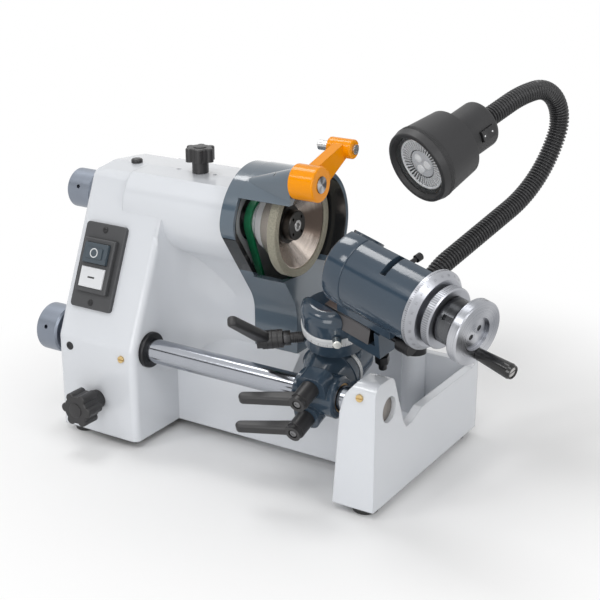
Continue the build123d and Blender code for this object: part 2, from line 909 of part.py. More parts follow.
# Socket-head bolt that holds the flange
with BuildPart() as wheel_bolt:
    rod(spindle_line, flange_end - 5 + seat, flange_end + 0.6, wheel_bolt_head_radius)
    rod(spindle_line, flange_end - wheel_bolt_reach - 4, flange_end - 5 + seat, wheel_bolt_radius)
    with BuildSketch(spindle_line.offset(flange_end + 0.6)):
        RegularPolygon(3.4, 6)
    extrude(amount=-3.5, mode=Mode.SUBTRACT)

wheel_bolt.part.label = "wheel_bolt"
export_step(wheel_bolt.part, "parts/wheel_bolt.step")

# Motor with its square flange against the end wall
motor_right = join_x - end_wall
with BuildPart() as motor:
    rod(motor_line, motor_right - motor_length, motor_right - motor_flange_thickness, motor_radius)
    fillet(motor.edges().filter_by(GeomType.CIRCLE), 5)
    with BuildSketch(motor_line.offset(motor_right - motor_flange_thickness)):
        RectangleRounded(motor_flange, motor_flange, 10)
    extrude(amount=motor_flange_thickness)
    rod(motor_line, motor_right - 40, motor_right + 1, motor_shaft_radius + running, Mode.SUBTRACT)

motor.part.label = "motor"
export_step(motor.part, "parts/motor.step")

# Motor shaft with its crowned pulley
with BuildPart() as motor_pulley:
    rod(motor_line, motor_right - 39, pulley_left + pulley_width + 4, motor_shaft_radius)
    rod(motor_line, pulley_left, pulley_left + pulley_width, motor_pulley_radius)
    rod(motor_line, pulley_left - 1, pulley_left + 3, motor_pulley_radius - 6, Mode.SUBTRACT)
    rod(motor_line, pulley_left - 2, pulley_left + 4, motor_shaft_radius + 5)

motor_pulley.part.label = "motor_pulley"
export_step(motor_pulley.part, "parts/motor_pulley.step")

# Flat belt round both pulleys
belt_left = pulley_left + (pulley_width - belt_width) / 2
with BuildPart() as drive_belt:
    with BuildSketch(across(machine, belt_left)):
        with Locations((spindle_y, spindle_z)):
            Circle(spindle_pulley_radius + free + belt_thickness)
        with Locations((motor_y, motor_z)):
            Circle(motor_pulley_radius + free + belt_thickness)
        make_hull()
    extrude(amount=belt_width)
    with BuildSketch(across(machine, belt_left)):
        with Locations((spindle_y, spindle_z)):
            Circle(spindle_pulley_radius + free)
        with Locations((motor_y, motor_z)):
            Circle(motor_pulley_radius + free)
        make_hull()
    extrude(amount=belt_width, mode=Mode.SUBTRACT)

drive_belt.part.label = "drive_belt"
export_step(drive_belt.part, "parts/drive_belt.step")

# Guard: belt neck and wheel hood in one shell, open at the front window and on the right
neck_arc_radius = guard_radius - 0.6
guard_shoulder = on_spindle_circle(neck_arc_radius, 181)
dresser_hub_start = guard_right - 3
dresser_radius = hypot(dresser_y - spindle_y, dresser_z - spindle_z)
dresser_angle = degrees(atan2(dresser_z - spindle_z, dresser_y - spindle_y))
with BuildPart() as wheel_guard:
    with BuildSketch(across(machine, join_x)) as outline:
        with BuildLine():
            Polyline((neck_front_y, ledge_high), (neck_front_y, guard_neck_height), guard_shoulder)
            ThreePointArc(
                guard_shoulder,
                on_spindle_circle(neck_arc_radius, 106),
                on_spindle_circle(neck_arc_radius, 31),
            )
            Polyline(
                on_spindle_circle(neck_arc_radius, 31),
                (guard_rear_y, guard_rear_height),
                (guard_rear_y, ledge_high),
                (neck_front_y, ledge_high),
            )
        make_face()
        fillet(outline.vertices().sort_by_distance((neck_front_y, guard_neck_height))[0], guard_neck_bend)
        fillet(outline.vertices().sort_by_distance(guard_shoulder)[0], guard_shoulder_bend)
    extrude(amount=guard_neck_right - join_x)
    rod(spindle_line, join_x + guard_strip, guard_right, guard_radius)
    for x, reach, radius in (
        (join_x + guard_strip, guard_radius - 6, 5.5),
        (dresser_hub_start - free, dresser_radius, dresser_boss_radius),
    ):
        with BuildSketch(across(machine, x)):
            with Locations((spindle_y, spindle_z)):
                Circle(guard_radius - 20)
            with Locations(on_spindle_circle(reach, dresser_angle)):
                Circle(radius)
            make_hull()
    loft(ruled=True)
    rod(spindle_line, join_x + guard_strip, guard_right + 1, guard_radius - guard_wall, Mode.SUBTRACT)
    with BuildSketch(across(machine, join_x)):
        add(outline.sketch_local)
        offset(amount=-guard_wall, mode=Mode.REPLACE)
        with Locations(((neck_front_y + guard_rear_y) / 2, ledge_high)):
            Rectangle(guard_rear_y - neck_front_y - 2 * guard_wall, 4 * guard_wall)
    extrude(amount=guard_neck_right - guard_wall - join_x, mode=Mode.SUBTRACT)
    # Front window, the open underside right of the neck, and room for the dresser
    block(
        machine,
        (join_x + guard_strip, spindle_y - guard_radius - 30, window_bottom_height),
        (guard_right + 1, spindle_y, window_top_height),
        Mode.SUBTRACT,
    )
    block(
        machine,
        (guard_neck_right, spindle_y - guard_radius - 30, spindle_z - guard_radius - 1),
        (guard_right + 1, hood_tail_y, spindle_z),
        Mode.SUBTRACT,
    )
    block(
        machine,
        (dresser_hub_start - free, spindle_y - guard_radius - 30, window_top_height - 1),
        (guard_right + 1, dresser_y + dresser_hub_radius + 2, dresser_z + 40),
        Mode.SUBTRACT,
    )
    rod(
        dresser_line,
        dresser_hub_start - dresser_pivot_length - 1,
        dresser_hub_start,
        dresser_pivot_radius + running,
        Mode.SUBTRACT,
    )

wheel_guard.part.label = "wheel_guard"
export_step(wheel_guard.part, "parts/wheel_guard.step")
print("guard solids", len(wheel_guard.part.solids()), round(wheel_guard.part.volume))

# Dresser: shaft in the guard's boss, arm with hub, and the diamond holder it carries
dresser_hub_end = dresser_hub_start + dresser_hub_length
diamond_y = dresser_y + dresser_arm_reach * cos(radians(dresser_park_angle))
diamond_z = dresser_z + dresser_arm_reach * sin(radians(dresser_park_angle))
diamond_line = axle(machine, diamond_y, diamond_z)
diamond_boss_start = dresser_hub_end - diamond_boss_length + 2
with BuildPart() as dresser_shaft:
    rod(dresser_line, dresser_hub_start, dresser_hub_end + 1, dresser_shaft_radius)
    rod(dresser_line, dresser_hub_start - dresser_pivot_length, dresser_hub_start, dresser_pivot_radius)

dresser_shaft.part.label = "dresser_shaft"
export_step(dresser_shaft.part, "parts/dresser_shaft.step")

web_start = dresser_hub_end - 6 - dresser_web
with BuildPart() as dresser_arm:
    rod(dresser_line, dresser_hub_start, dresser_hub_end, dresser_hub_radius)
    rod(diamond_line, diamond_boss_start, diamond_boss_start + diamond_boss_length, diamond_boss_radius)
    fillet(dresser_arm.edges().filter_by(GeomType.CIRCLE), 1.5)
    with BuildSketch(across(machine, web_start)):
        with Locations((dresser_y, dresser_z)):
            Circle(dresser_hub_radius - 3)
        with Locations((diamond_y, diamond_z)):
            Circle(dresser_web_end_radius)
        make_hull()
    extrude(amount=dresser_web)
    rod(dresser_line, dresser_hub_start - 1, dresser_hub_end + 1, dresser_shaft_radius + seat, Mode.SUBTRACT)
    rod(
        diamond_line,
        diamond_boss_start - 1,
        diamond_boss_start + diamond_boss_length + 1,
        diamond_holder_radius + seat,
        Mode.SUBTRACT,
    )
    block(
        moved(machine, (0, diamond_y, diamond_z), (dresser_park_angle, 0, 0)),
        (web_start + dresser_web + 1, 0, -slit / 2),
        (diamond_boss_start + diamond_boss_length + 1, diamond_boss_radius + 1, slit / 2),
        Mode.SUBTRACT,
    )

dresser_arm.part.label = "dresser_arm"
export_step(dresser_arm.part, "parts/dresser_arm.step")

with BuildPart() as diamond_holder:
    tip = wheel_face + quill_travel + diamond_clearance
    cone(diamond_line, tip, tip + 3, 1, diamond_holder_radius - 1.5)
    rod(diamond_line, tip + 3, diamond_boss_start + diamond_boss_length + 2, diamond_holder_radius)

diamond_holder.part.label = "diamond_holder"
export_step(diamond_holder.part, "parts/diamond_holder.step")

# Switch: plate on the headstock's slope, switch block through it, two push buttons
with BuildPart() as switch_plate:
    with BuildSketch(panel):
        RectangleRounded(switch_plate_width, switch_plate_height, 4)
    extrude(amount=switch_plate_thickness)
    fillet(switch_plate.faces().sort_by(Axis(panel.origin, panel.z_dir))[-1].edges(), 1)
    block(
        panel,
        (-switch_body_width / 2 - seat, -switch_body_height / 2 - seat, -1),
        (switch_body_width / 2 + seat, switch_body_height / 2 + seat, 20),
        Mode.SUBTRACT,
    )

switch_plate.part.label = "switch_plate"
export_step(switch_plate.part, "parts/switch_plate.step")

button_places = (button_pitch / 2, -button_pitch / 2)
with BuildPart() as switch_body:
    block(
        panel,
        (-switch_body_width / 2, -switch_body_height / 2, -switch_body_depth),
        (switch_body_width / 2, switch_body_height / 2, switch_body_rise),
    )
    fillet(switch_body.faces().sort_by(Axis(panel.origin, panel.z_dir))[-1].edges(), 1.5)
    well_floor = switch_body_rise - button_depth - button_travel
    for y in button_places:
        block(
            panel,
            (-button_width / 2 - free, y - button_height / 2 - free, well_floor),
            (button_width / 2 + free, y + button_height / 2 + free, switch_body_rise + 1),
            Mode.SUBTRACT,
        )

switch_body.part.label = "switch_body"
export_step(switch_body.part, "parts/switch_body.step")


def push_button(y, rise):
    """Button in the upper or lower pocket of the switch block."""
    with BuildPart() as button:
        block(
            panel,
            (-button_width / 2, y - button_height / 2, switch_body_rise - button_depth + free),
            (button_width / 2, y + button_height / 2, switch_body_rise + rise),
        )
        fillet(button.faces().sort_by(Axis(panel.origin, panel.z_dir))[-1].edges(), 1.2)
    return button.part


stop_button = push_button(button_places[0], button_rise + 1)
stop_button.label = "stop_button"
export_step(stop_button, "parts/stop_button.step")

start_button = push_button(button_places[1], button_rise - 1)
start_button.label = "start_button"
export_step(start_button, "parts/start_button.step")


def star_knob(line, radius, hub_length, knob_length, stud_length):
    """Clamping knob with round lobes on a threaded stud."""
    with BuildPart() as knob:
        with BuildSketch(line.offset(free + hub_length)):
            Circle(radius * 0.82)
            with PolarLocations(radius * 0.76, star_lobes):
                Circle(radius * 0.28)
        extrude(amount=knob_length)
        top = knob.faces().sort_by(Axis(line.origin, line.z_dir))
        fillet(top[-1].edges(), 1.5)
        rod(line, free, free + hub_length, radius * 0.56)
        rod(line, -stud_length, free, star_stud_radius)
    return knob.part


quill_lock_knob = star_knob(lock_knob_line, lock_knob_radius, 12, 14, lock_stud_length)
quill_lock_knob.label = "quill_lock_knob"
export_step(quill_lock_knob, "parts/quill_lock_knob.step")

belt_lock_knob = star_knob(front_knob_line, front_knob_radius, 15, 20, wall + 8)
belt_lock_knob.label = "belt_lock_knob"
export_step(belt_lock_knob, "parts/belt_lock_knob.step")

# Liner bush that slides along the bar inside the carriage
with BuildPart() as carriage_bush:
    rod(sleeve_line, sleeve_left + 1, sleeve_right - 1, bar_radius + bush_wall)
    rod(sleeve_line, sleeve_left, sleeve_right, bar_radius + running, Mode.SUBTRACT)

carriage_bush.part.label = "carriage_bush"
export_step(carriage_bush.part, "parts/carriage_bush.step")

# Carriage: split sleeve on the bar, lugs for two clamping levers, flared hub for the tilting elbow
hub_line = Plane(origin=carriage_frame.origin, x_dir=carriage_frame.x_dir, z_dir=carriage_frame.y_dir)
upper_lever_line = Plane(
    origin=carriage_frame.from_local_coords((upper_lever_x, upper_lug_front, lever_rise)),
    x_dir=carriage_frame.x_dir * -1,
    z_dir=carriage_frame.y_dir * -1,
)
lower_lever_line = Plane(
    origin=carriage_frame.from_local_coords((lower_lever_x, lug_front, -lever_drop)),
    x_dir=carriage_frame.x_dir * -1,
    z_dir=carriage_frame.y_dir * -1,
)
pivot_start = elbow_reach + scale_start - pivot_length
stud_low = lever_drop - lever_stud_radius
lower_stud_length = -lug_front - sqrt((bar_radius + bush_wall + free) ** 2 - stud_low**2) - 0.2
with BuildPart() as carriage:
    rod(sleeve_line, sleeve_left, sleeve_right, sleeve_radius)
    chamfer(carriage.edges().filter_by(GeomType.CIRCLE), 2)
    with BuildSketch(facing(carriage_frame, 0)):
        with Locations((upper_lever_x, lever_rise - 4)):
            RectangleRounded(2 * lug_half_width, lug_half_height, 9)
    extrude(amount=-upper_lug_front)
    with BuildSketch(facing(carriage_frame, 0)):
        with Locations((lower_lever_x, -lever_drop)):
            RectangleRounded(2 * lug_half_width - 4, lug_half_height - 6, 9)
    extrude(amount=-lug_front)
    cone(hub_line, 0, hub_rim_start, hub_root_radius, hub_radius)
    rod(hub_line, hub_rim_start, hub_rim_end, hub_rim_radius)
    rod(hub_line, hub_rim_end, hub_face, elbow_hub_radius)
    rod(hub_line, pivot_start - 2, hub_face + 1, pivot_radius + running, Mode.SUBTRACT)
    rod(
        sleeve_line, -hub_root_radius - 5, sleeve_right + 1, bar_radius + bush_wall + running, Mode.SUBTRACT
    )
    rod(upper_lever_line, -24, 1, lever_stud_radius + seat, Mode.SUBTRACT)
    rod(lower_lever_line, -lower_stud_length - 1, 1, lever_stud_radius + seat, Mode.SUBTRACT)

carriage.part.label = "carriage"
export_step(carriage.part, "parts/carriage.step")


def clamp_lever(line, spacer_length, stud_length, lean):
    """Clamping lever: rounded arm that leans outwards, stepped hub with a socket in its end, and stud."""
    start = free + spacer_length
    hub_end = start + lever_hub_length
    arm = Plane(origin=line.offset(start).origin, x_dir=line.x_dir, z_dir=line.x_dir.cross(line.z_dir))
    with BuildPart() as lever:
        with BuildSketch(arm):
            with Locations((0, lever_arm_lift - lever_arm_root / 2)):
                Circle(lever_arm_root * 0.8)
            with Locations((lever_arm_length, lever_arm_lift + lever_arm_length * lean)):
                Circle(lever_arm_tip * 0.8)
            make_hull()
        extrude(amount=lever_arm_thickness / 2, both=True)
        fillet(lever.faces().filter_by(arm).edges(), lever_arm_round)
        rod(line, start, hub_end - lever_cap_length, lever_hub_radius)
        rod(line, hub_end - lever_cap_length, hub_end, lever_hub_radius - lever_hub_step)
        rod(line, hub_end - lever_socket_depth, hub_end + 1, lever_socket_radius, Mode.SUBTRACT)
        rod(line, -stud_length, start, lever_stud_radius)
        if spacer_length:
            rod(line, free, start, lever_hub_radius - 4)
    return lever.part


tilt_clamp_lever = clamp_lever(upper_lever_line, 0, 22, lever_lean)
tilt_clamp_lever.label = "tilt_clamp_lever"
export_step(tilt_clamp_lever, "parts/tilt_clamp_lever.step")

bar_clamp_lever = clamp_lever(lower_lever_line, 0, lower_stud_length, lever_lean)
bar_clamp_lever.label = "bar_clamp_lever"
export_step(bar_clamp_lever, "parts/bar_clamp_lever.step")

# Graduated ring of the tilt axis
with BuildPart() as tilt_scale_ring:
    rod(tilt_line, scale_start, elbow_start, tilt_scale_radius)
    rod(tilt_line, scale_start - 1, elbow_start + 1, pivot_radius + seat, Mode.SUBTRACT)

tilt_scale_ring.part.label = "tilt_scale_ring"
export_step(tilt_scale_ring.part, "parts/tilt_scale_ring.step")

# Elbow: hub on the tilt axis, post and disc under the swivel
lever_angle = radians(180 + swivel_lever_angle)
swivel_lever_dir = elbow_frame.x_dir * cos(lever_angle) + elbow_frame.y_dir * sin(lever_angle)
lever_height = (elbow_disc_low + elbow_top) / 2 - swivel_lever_drop
swivel_lever_line = Plane(
    origin=elbow_frame.from_local_coords(
        (elbow_disc_radius * cos(lever_angle), elbow_disc_radius * sin(lever_angle), lever_height)
    ),
    x_dir=elbow_frame.z_dir * cos(radians(30)) + elbow_frame.z_dir.cross(swivel_lever_dir) * sin(radians(30)),
    z_dir=swivel_lever_dir,
)
with BuildPart() as tilt_elbow:
    rod(tilt_line, elbow_start, elbow_back, elbow_hub_radius)
    fillet(tilt_elbow.faces().sort_by(Axis(tilt_line.origin, tilt_line.z_dir))[-1].edges(), 8)
    rod(swivel_line, 0, elbow_disc_low - 12, elbow_post_radius)
    cone(swivel_line, elbow_disc_low - 12, elbow_disc_low, elbow_post_radius, elbow_disc_radius)
    block(
        elbow_frame,
        (-elbow_disc_radius - 9, -elbow_disc_radius - 9, -elbow_hub_radius - 9),
        (elbow_disc_radius + 9, elbow_start, elbow_disc_low - 0.5),
        Mode.SUBTRACT,
    )
    rod(swivel_line, elbow_disc_low - 0.5, elbow_top, elbow_disc_radius)
    rod(tilt_line, scale_start - pivot_length, elbow_start, pivot_radius)
    rod(swivel_line, elbow_disc_low + 0.7, elbow_top + 1, pivot_radius + 2 + running, Mode.SUBTRACT)
    rod(swivel_lever_line, -17, 1, lever_stud_radius + seat, Mode.SUBTRACT)

tilt_elbow.part.label = "tilt_elbow"
export_step(tilt_elbow.part, "parts/tilt_elbow.step")

swivel_clamp_lever = clamp_lever(swivel_lever_line, swivel_lever_reach, 15, swivel_lever_lean)
swivel_clamp_lever.label = "swivel_clamp_lever"
export_step(swivel_clamp_lever, "parts/swivel_clamp_lever.step")

# Graduated ring of the swivel
with BuildPart() as swivel_scale_ring:
    rod(swivel_line, elbow_top + free, swivel_height, swivel_scale_radius)
    rod(swivel_line, elbow_top, swivel_height + 1, pivot_radius + 2 + seat, Mode.SUBTRACT)

swivel_scale_ring.part.label = "swivel_scale_ring"
export_step(swivel_scale_ring.part, "parts/swivel_scale_ring.step")

# Slide base: domed block with a dovetail groove, feed arm and end bracket
groove_floor = slide_base_height - dovetail_depth
bracket_left = slide_right + bracket_gap
bracket_right = bracket_left + bracket_thickness
screw_height = groove_floor + 7
feed_line = axle(swivel_frame, 0, screw_height)
stop_line = moved(swivel_frame, (stop_bolt_x, 0, 2))
index_line = Plane(
    origin=swivel_frame.from_local_coords((0, 0, index_height)),
    x_dir=swivel_frame.z_dir,
    z_dir=swivel_frame.x_dir * cos(radians(index_angle)) + swivel_frame.y_dir * sin(radians(index_angle)),
)
with BuildPart() as slide_base:
    rod(swivel_frame, 0, slide_base_height, slide_base_radius)
    crown = slide_base.faces().sort_by(Axis(swivel_frame.origin, swivel_frame.z_dir))[-1]
    fillet(crown.edges(), slide_base_crown)
    block(
        swivel_frame,
        (0, -feed_arm_half_width, 2),
        (bracket_right, feed_arm_half_width, 2 + feed_arm_thickness),
    )
    block(
        swivel_frame,
        (bracket_left, -feed_arm_half_width, 2),
        (bracket_right, feed_arm_half_width, slide_base_height),
    )
    rod(swivel_frame, elbow_disc_low + 1 - swivel_height, 0, pivot_radius + 2)
    with BuildSketch(across(swivel_frame, -slide_base_radius - 1)):
        with BuildLine():
            Polyline(
                (-dovetail_bottom / 2, groove_floor),
                (dovetail_bottom / 2, groove_floor),
                (dovetail_top / 2, slide_base_height + 0.01),
                (-dovetail_top / 2, slide_base_height + 0.01),
                close=True,
            )
        make_face()
    extrude(amount=slide_base_radius + bracket_left - 0.5, mode=Mode.SUBTRACT)
    rod(feed_line, bracket_left - 1, bracket_right + 1, feed_rod_radius + running, Mode.SUBTRACT)
    rod(stop_line, -1, feed_arm_thickness - 3, stop_bolt_radius + seat, Mode.SUBTRACT)
    rod(index_line, slide_base_radius - 9, slide_base_radius + 1, 2.5 + seat, Mode.SUBTRACT)

slide_base.part.label = "slide_base"
export_step(slide_base.part, "parts/slide_base.step")

# Bright screw that holds the swivel at its index
with BuildPart() as swivel_index_screw:
    rod(index_line, slide_base_radius - 8.5, slide_base_radius + 1, 2.5)
    rod(index_line, slide_base_radius + 1, slide_base_radius + 9, 4.6)
    chamfer(swivel_index_screw.edges().filter_by(GeomType.CIRCLE).sort_by(SortBy.RADIUS)[-2:], 0.8)

swivel_index_screw.part.label = "swivel_index_screw"
export_step(swivel_index_screw.part, "parts/swivel_index_screw.step")

# Stop bolt under the feed arm
with BuildPart() as stop_bolt:
    rod(stop_line, -stop_bolt_length, feed_arm_thickness - 3.5, stop_bolt_radius)
    with BuildSketch(stop_line.offset(-stop_bolt_length + 8)):
        RegularPolygon(7, 6)
    extrude(amount=8)

stop_bolt.part.label = "stop_bolt"
export_step(stop_bolt.part, "parts/stop_bolt.step")

# Feed screw with its knurled knob
with BuildPart() as feed_screw:
    start = bracket_right + feed_rod_length
    rod(feed_line, start, start + feed_knob_length, feed_knob_radius)
    chamfer(feed_screw.edges().filter_by(GeomType.CIRCLE), 1)
    rod(feed_line, 20, start, feed_rod_radius)

feed_screw.part.label = "feed_screw"
export_step(feed_screw.part, "parts/feed_screw.step")

# Steel slide in the dovetail
slide_gap = 0.1
with BuildPart() as head_slide:
    with BuildSketch(across(swivel_frame, slide_left)):
        with BuildLine():
            Polyline(
                (-dovetail_bottom / 2 + slide_gap, groove_floor + slide_gap),
                (dovetail_bottom / 2 - slide_gap, groove_floor + slide_gap),
                (dovetail_top / 2 - slide_gap, slide_base_height),
                (dovetail_top / 2 - slide_gap, slide_base_height + slide_rise),
                (-dovetail_top / 2 + slide_gap, slide_base_height + slide_rise),
                (-dovetail_top / 2 + slide_gap, slide_base_height),
                close=True,
            )
        make_face()
    extrude(amount=slide_right - slide_left)
    rod(feed_line, 4, slide_right + 1, feed_rod_radius + free, Mode.SUBTRACT)

head_slide.part.label = "head_slide"
export_step(head_slide.part, "parts/head_slide.step")

# Work head: round housing on a saddle
flat_frame = moved(swivel_frame, (0, 0, head_axis_height), (head_flat_turn, 0, 0))
slot_frame = moved(swivel_frame, (head_slot_x, 0, head_axis_height), (10, 0, 0))
clamp_screw_line = Plane(
    origin=swivel_frame.from_local_coords((head_slot_x, 0, head_axis_height + clamp_screw_height)),
    x_dir=swivel_frame.x_dir,
    z_dir=swivel_frame.y_dir,
)
flat_angle = radians(90 + head_flat_turn)
flat_edge = (head_flat - clamp_screw_height * sin(flat_angle)) / cos(flat_angle)
saddle_low = slide_base_height + slide_rise
with BuildPart() as head_body:
    rod(head_line, head_left, head_right, head_radius)
    ends = head_body.edges().filter_by(GeomType.CIRCLE).sort_by(Axis(head_line.origin, head_line.z_dir))
    chamfer(ends[0], 4)
    block(
        swivel_frame,
        (saddle_left, -saddle_half_width, saddle_low),
        (saddle_right, saddle_half_width, head_axis_height - head_radius + 10),
    )
    block(
        flat_frame,
        (head_left - 1, -head_radius, head_flat),
        (head_right + 1, head_radius, head_radius + 1),
        Mode.SUBTRACT,
    )
    rod(
        moved(flat_frame, (head_boss_x, 0, 0)),
        head_bore_radius + 2,
        head_flat + head_boss_rise,
        head_boss_radius,
    )
    rod(
        moved(flat_frame, (head_boss_x + 8, 0, 0)),
        head_flat + head_boss_rise - 4,
        head_flat + head_boss_rise + 1,
        3,
        Mode.SUBTRACT,
    )
    rod(head_line, saddle_left - 1, head_right + 1, head_bore_radius, Mode.SUBTRACT)
    block(
        slot_frame,
        (-head_slot_width / 2, -head_slot_half_length, head_radius - 8),
        (head_slot_width / 2, head_slot_half_length, head_radius + 5),
        Mode.SUBTRACT,
    )
    rod(clamp_screw_line, flat_edge - 8, flat_edge + 20, clamp_screw_radius + running, Mode.SUBTRACT)

head_body.part.label = "head_body"
export_step(head_body.part, "parts/head_body.step")

# Screw that brakes the work spindle
with BuildPart() as spindle_clamp_screw:
    screw_end = flat_edge + clamp_screw_reach
    rod(clamp_screw_line, flat_edge - 7, screw_end - 7, clamp_screw_radius)
    rod(clamp_screw_line, screw_end - 7, screw_end, clamp_screw_head_radius)
    chamfer(spindle_clamp_screw.edges().filter_by(GeomType.CIRCLE).sort_by(SortBy.RADIUS)[-2:], 0.6)

spindle_clamp_screw.part.label = "spindle_clamp_screw"
export_step(spindle_clamp_screw.part, "parts/spindle_clamp_screw.step")

# Work spindle with the rings, nut and handwheel that it carries
index_start = head_right + 0.6
lock_start = index_start + index_ring_length + ring_gap
nut_start = lock_start + lock_ring_length + 1.5
wheel_start = nut_start + draw_nut_length + 5
wheel_end = wheel_start + handwheel_width
tail_radius = 16.0
spindle_tail_end = wheel_end - handwheel_dish - 2.5
with BuildPart() as work_spindle:
    rod(head_line, head_left - 4, head_left - free, head_bore_radius - 2)
    rod(head_line, head_left - free, head_right + free, work_spindle_radius)
    rod(head_line, head_right + free, spindle_tail_end, tail_radius)
    rod(head_line, head_left - 5, wheel_end, collet_radius - 3 + seat, Mode.SUBTRACT)

work_spindle.part.label = "work_spindle"
export_step(work_spindle.part, "parts/work_spindle.step")

with BuildPart() as collet:
    collet_start = head_left - collet_nose_length
    rod(head_line, collet_start, head_left - 4 - seat, collet_radius)
    chamfer(collet.faces().sort_by(Axis(head_line.origin, head_line.z_dir))[0].edges(), 2)
    rod(head_line, head_left - 4 - seat, head_left + 50, collet_radius - 3)
    rod(head_line, collet_start - 1, head_left + 51, collet_bore_radius, Mode.SUBTRACT)
    for turn in (0, 120, 240):
        block(
            moved(swivel_frame, (collet_start, 0, head_axis_height), (turn, 0, 0)),
            (-1, 0, -0.6),
            (40, collet_radius + 1, 0.6),
            Mode.SUBTRACT,
        )

collet.part.label = "collet"
export_step(collet.part, "parts/collet.step")

with BuildPart() as index_ring:
    rod(head_line, index_start, index_start + index_ring_rim, index_ring_radius)
    cone(
        head_line,
        index_start + index_ring_rim,
        index_start + index_ring_length,
        index_ring_radius,
        index_ring_face_radius,
    )
    rod(head_line, index_start - 1, index_start + index_ring_length + 1, tail_radius + seat, Mode.SUBTRACT)

index_ring.part.label = "index_ring"
export_step(index_ring.part, "parts/index_ring.step")

with BuildPart() as lock_ring:
    rod(head_line, lock_start, lock_start + lock_ring_length, lock_ring_radius)
    chamfer(lock_ring.edges().filter_by(GeomType.CIRCLE), 1.2)
    rod(head_line, index_start + index_ring_length + seat, lock_start, lock_ring_radius - 8)
    rod(head_line, index_start, lock_start + lock_ring_length + 1, tail_radius + seat, Mode.SUBTRACT)

lock_ring.part.label = "lock_ring"
export_step(lock_ring.part, "parts/lock_ring.step")

with BuildPart() as draw_nut:
    rod(head_line, lock_start + lock_ring_length + seat, wheel_start - seat, tail_radius + 2)
    rod(head_line, nut_start, nut_start + draw_nut_length, draw_nut_radius + 4)
    rod(head_line, lock_start, wheel_start + 1, tail_radius + seat, Mode.SUBTRACT)
    with Locations(head_line.offset(nut_start + draw_nut_length - 3)):
        with PolarLocations(draw_nut_radius + 4, 4, start_angle=45):
            Box(5, 5, 14, mode=Mode.SUBTRACT)

draw_nut.part.label = "draw_nut"
export_step(draw_nut.part, "parts/draw_nut.step")

with BuildPart() as handwheel:
    rod(head_line, wheel_start, wheel_end, handwheel_radius)
    fillet(handwheel.edges().filter_by(GeomType.CIRCLE), 1.5)
    rod(head_line, wheel_end - handwheel_dish, wheel_end + 1, handwheel_hub_radius, Mode.SUBTRACT)
    rod(head_line, wheel_start - 1, spindle_tail_end + seat, tail_radius + seat, Mode.SUBTRACT)
    with Locations(head_line.offset(wheel_end - handwheel_dish)):
        with PolarLocations(spanner_hole_pitch / 2, 2, start_angle=20):
            Cylinder(spanner_hole_radius, 3, mode=Mode.SUBTRACT)
    rod(handle_line, wheel_start + 2, wheel_end + 1, handle_pin_radius + seat, Mode.SUBTRACT)

handwheel.part.label = "handwheel"
export_step(handwheel.part, "parts/handwheel.step")

handle_end = wheel_end + free + handle_length
with BuildPart() as crank_handle:
    cone(handle_line, wheel_end + free, handle_end - 3, handle_root_radius, handle_end_radius)
    cone(handle_line, handle_end - 3, handle_end, handle_end_radius, handle_end_radius - 1)
    rod(handle_line, handle_end - 4, handle_end + 1, handle_head_radius + free, Mode.SUBTRACT)
    rod(handle_line, wheel_end, handle_end + 1, handle_pin_radius + running, Mode.SUBTRACT)

crank_handle.part.label = "crank_handle"
export_step(crank_handle.part, "parts/crank_handle.step")

with BuildPart() as handle_screw:
    rod(handle_line, wheel_start + 3, handle_end - 4 + free, handle_pin_radius)
    rod(handle_line, handle_end - 4 + free, handle_end - 0.7, handle_head_radius)
    block(
        moved(swivel_frame, (handle_end - 0.7, 0, head_axis_height - handle_offset)),
        (-1, -6, -0.6),
        (1, 6, 0.6),
        Mode.SUBTRACT,
    )

handle_screw.part.label = "handle_screw"
export_step(handle_screw.part, "parts/handle_screw.step")

# Route of the gooseneck: straight runs and arcs in an upright plane, turns counted anticlockwise
neck_runs = (
    (neck_rise, 0),
    (neck_lower_radius, -neck_lower_turn),
    (neck_middle_run, 0),
    (neck_middle_radius, neck_middle_turn),
    (neck_upper_radius, neck_upper_turn),
    (neck_last_radius, neck_last_turn),
    (neck_end_run, 0),
)
neck_length = sum(size * radians(abs(turn)) if turn else size for size, turn in neck_runs)


def neck_point(station):
    """Place and heading on the route at a distance from its start."""
    x, y, heading = 0.0, neck_start, 90.0
    for size, turn in neck_runs:
        run = size * radians(abs(turn)) if turn else size
        part = min(station, run)
        if turn:
            side = 1 if turn > 0 else -1
            swing = degrees(part / size) * side
            x += side * size * (sin(radians(heading + swing)) - sin(radians(heading)))
            y -= side * size * (cos(radians(heading + swing)) - cos(radians(heading)))
            heading += swing
        else:
            x += part * cos(radians(heading))
            y += part * sin(radians(heading))
        station -= part
        if station <= 0:
            break
    return x, y, heading


neck_plane = Plane(
    origin=lamp_foot.origin,
    x_dir=(cos(radians(lamp_plane_angle)), sin(radians(lamp_plane_angle)), 0),
    z_dir=(sin(radians(lamp_plane_angle)), -cos(radians(lamp_plane_angle)), 0),
)


def neck_section(station):
    """Plane square to the route, its x steady along the normal of the upright plane."""
    x, y, heading = neck_point(station)
    ahead = neck_plane.x_dir * cos(radians(heading)) + neck_plane.y_dir * sin(radians(heading))
    return Plane(origin=neck_plane.from_local_coords((x, y, 0)), x_dir=neck_plane.z_dir, z_dir=ahead)


# Socket on the tray's back wall
with BuildPart() as lamp_socket:
    rod(lamp_foot, 0, lamp_socket_height, lamp_socket_radius)
    fillet(lamp_socket.faces().sort_by(Axis.Z)[-1].edges(), 1)
    rod(lamp_foot, neck_start - free, lamp_socket_height + 1, neck_radius + free, Mode.SUBTRACT)

lamp_socket.part.label = "lamp_socket"
export_step(lamp_socket.part, "parts/lamp_socket.step")

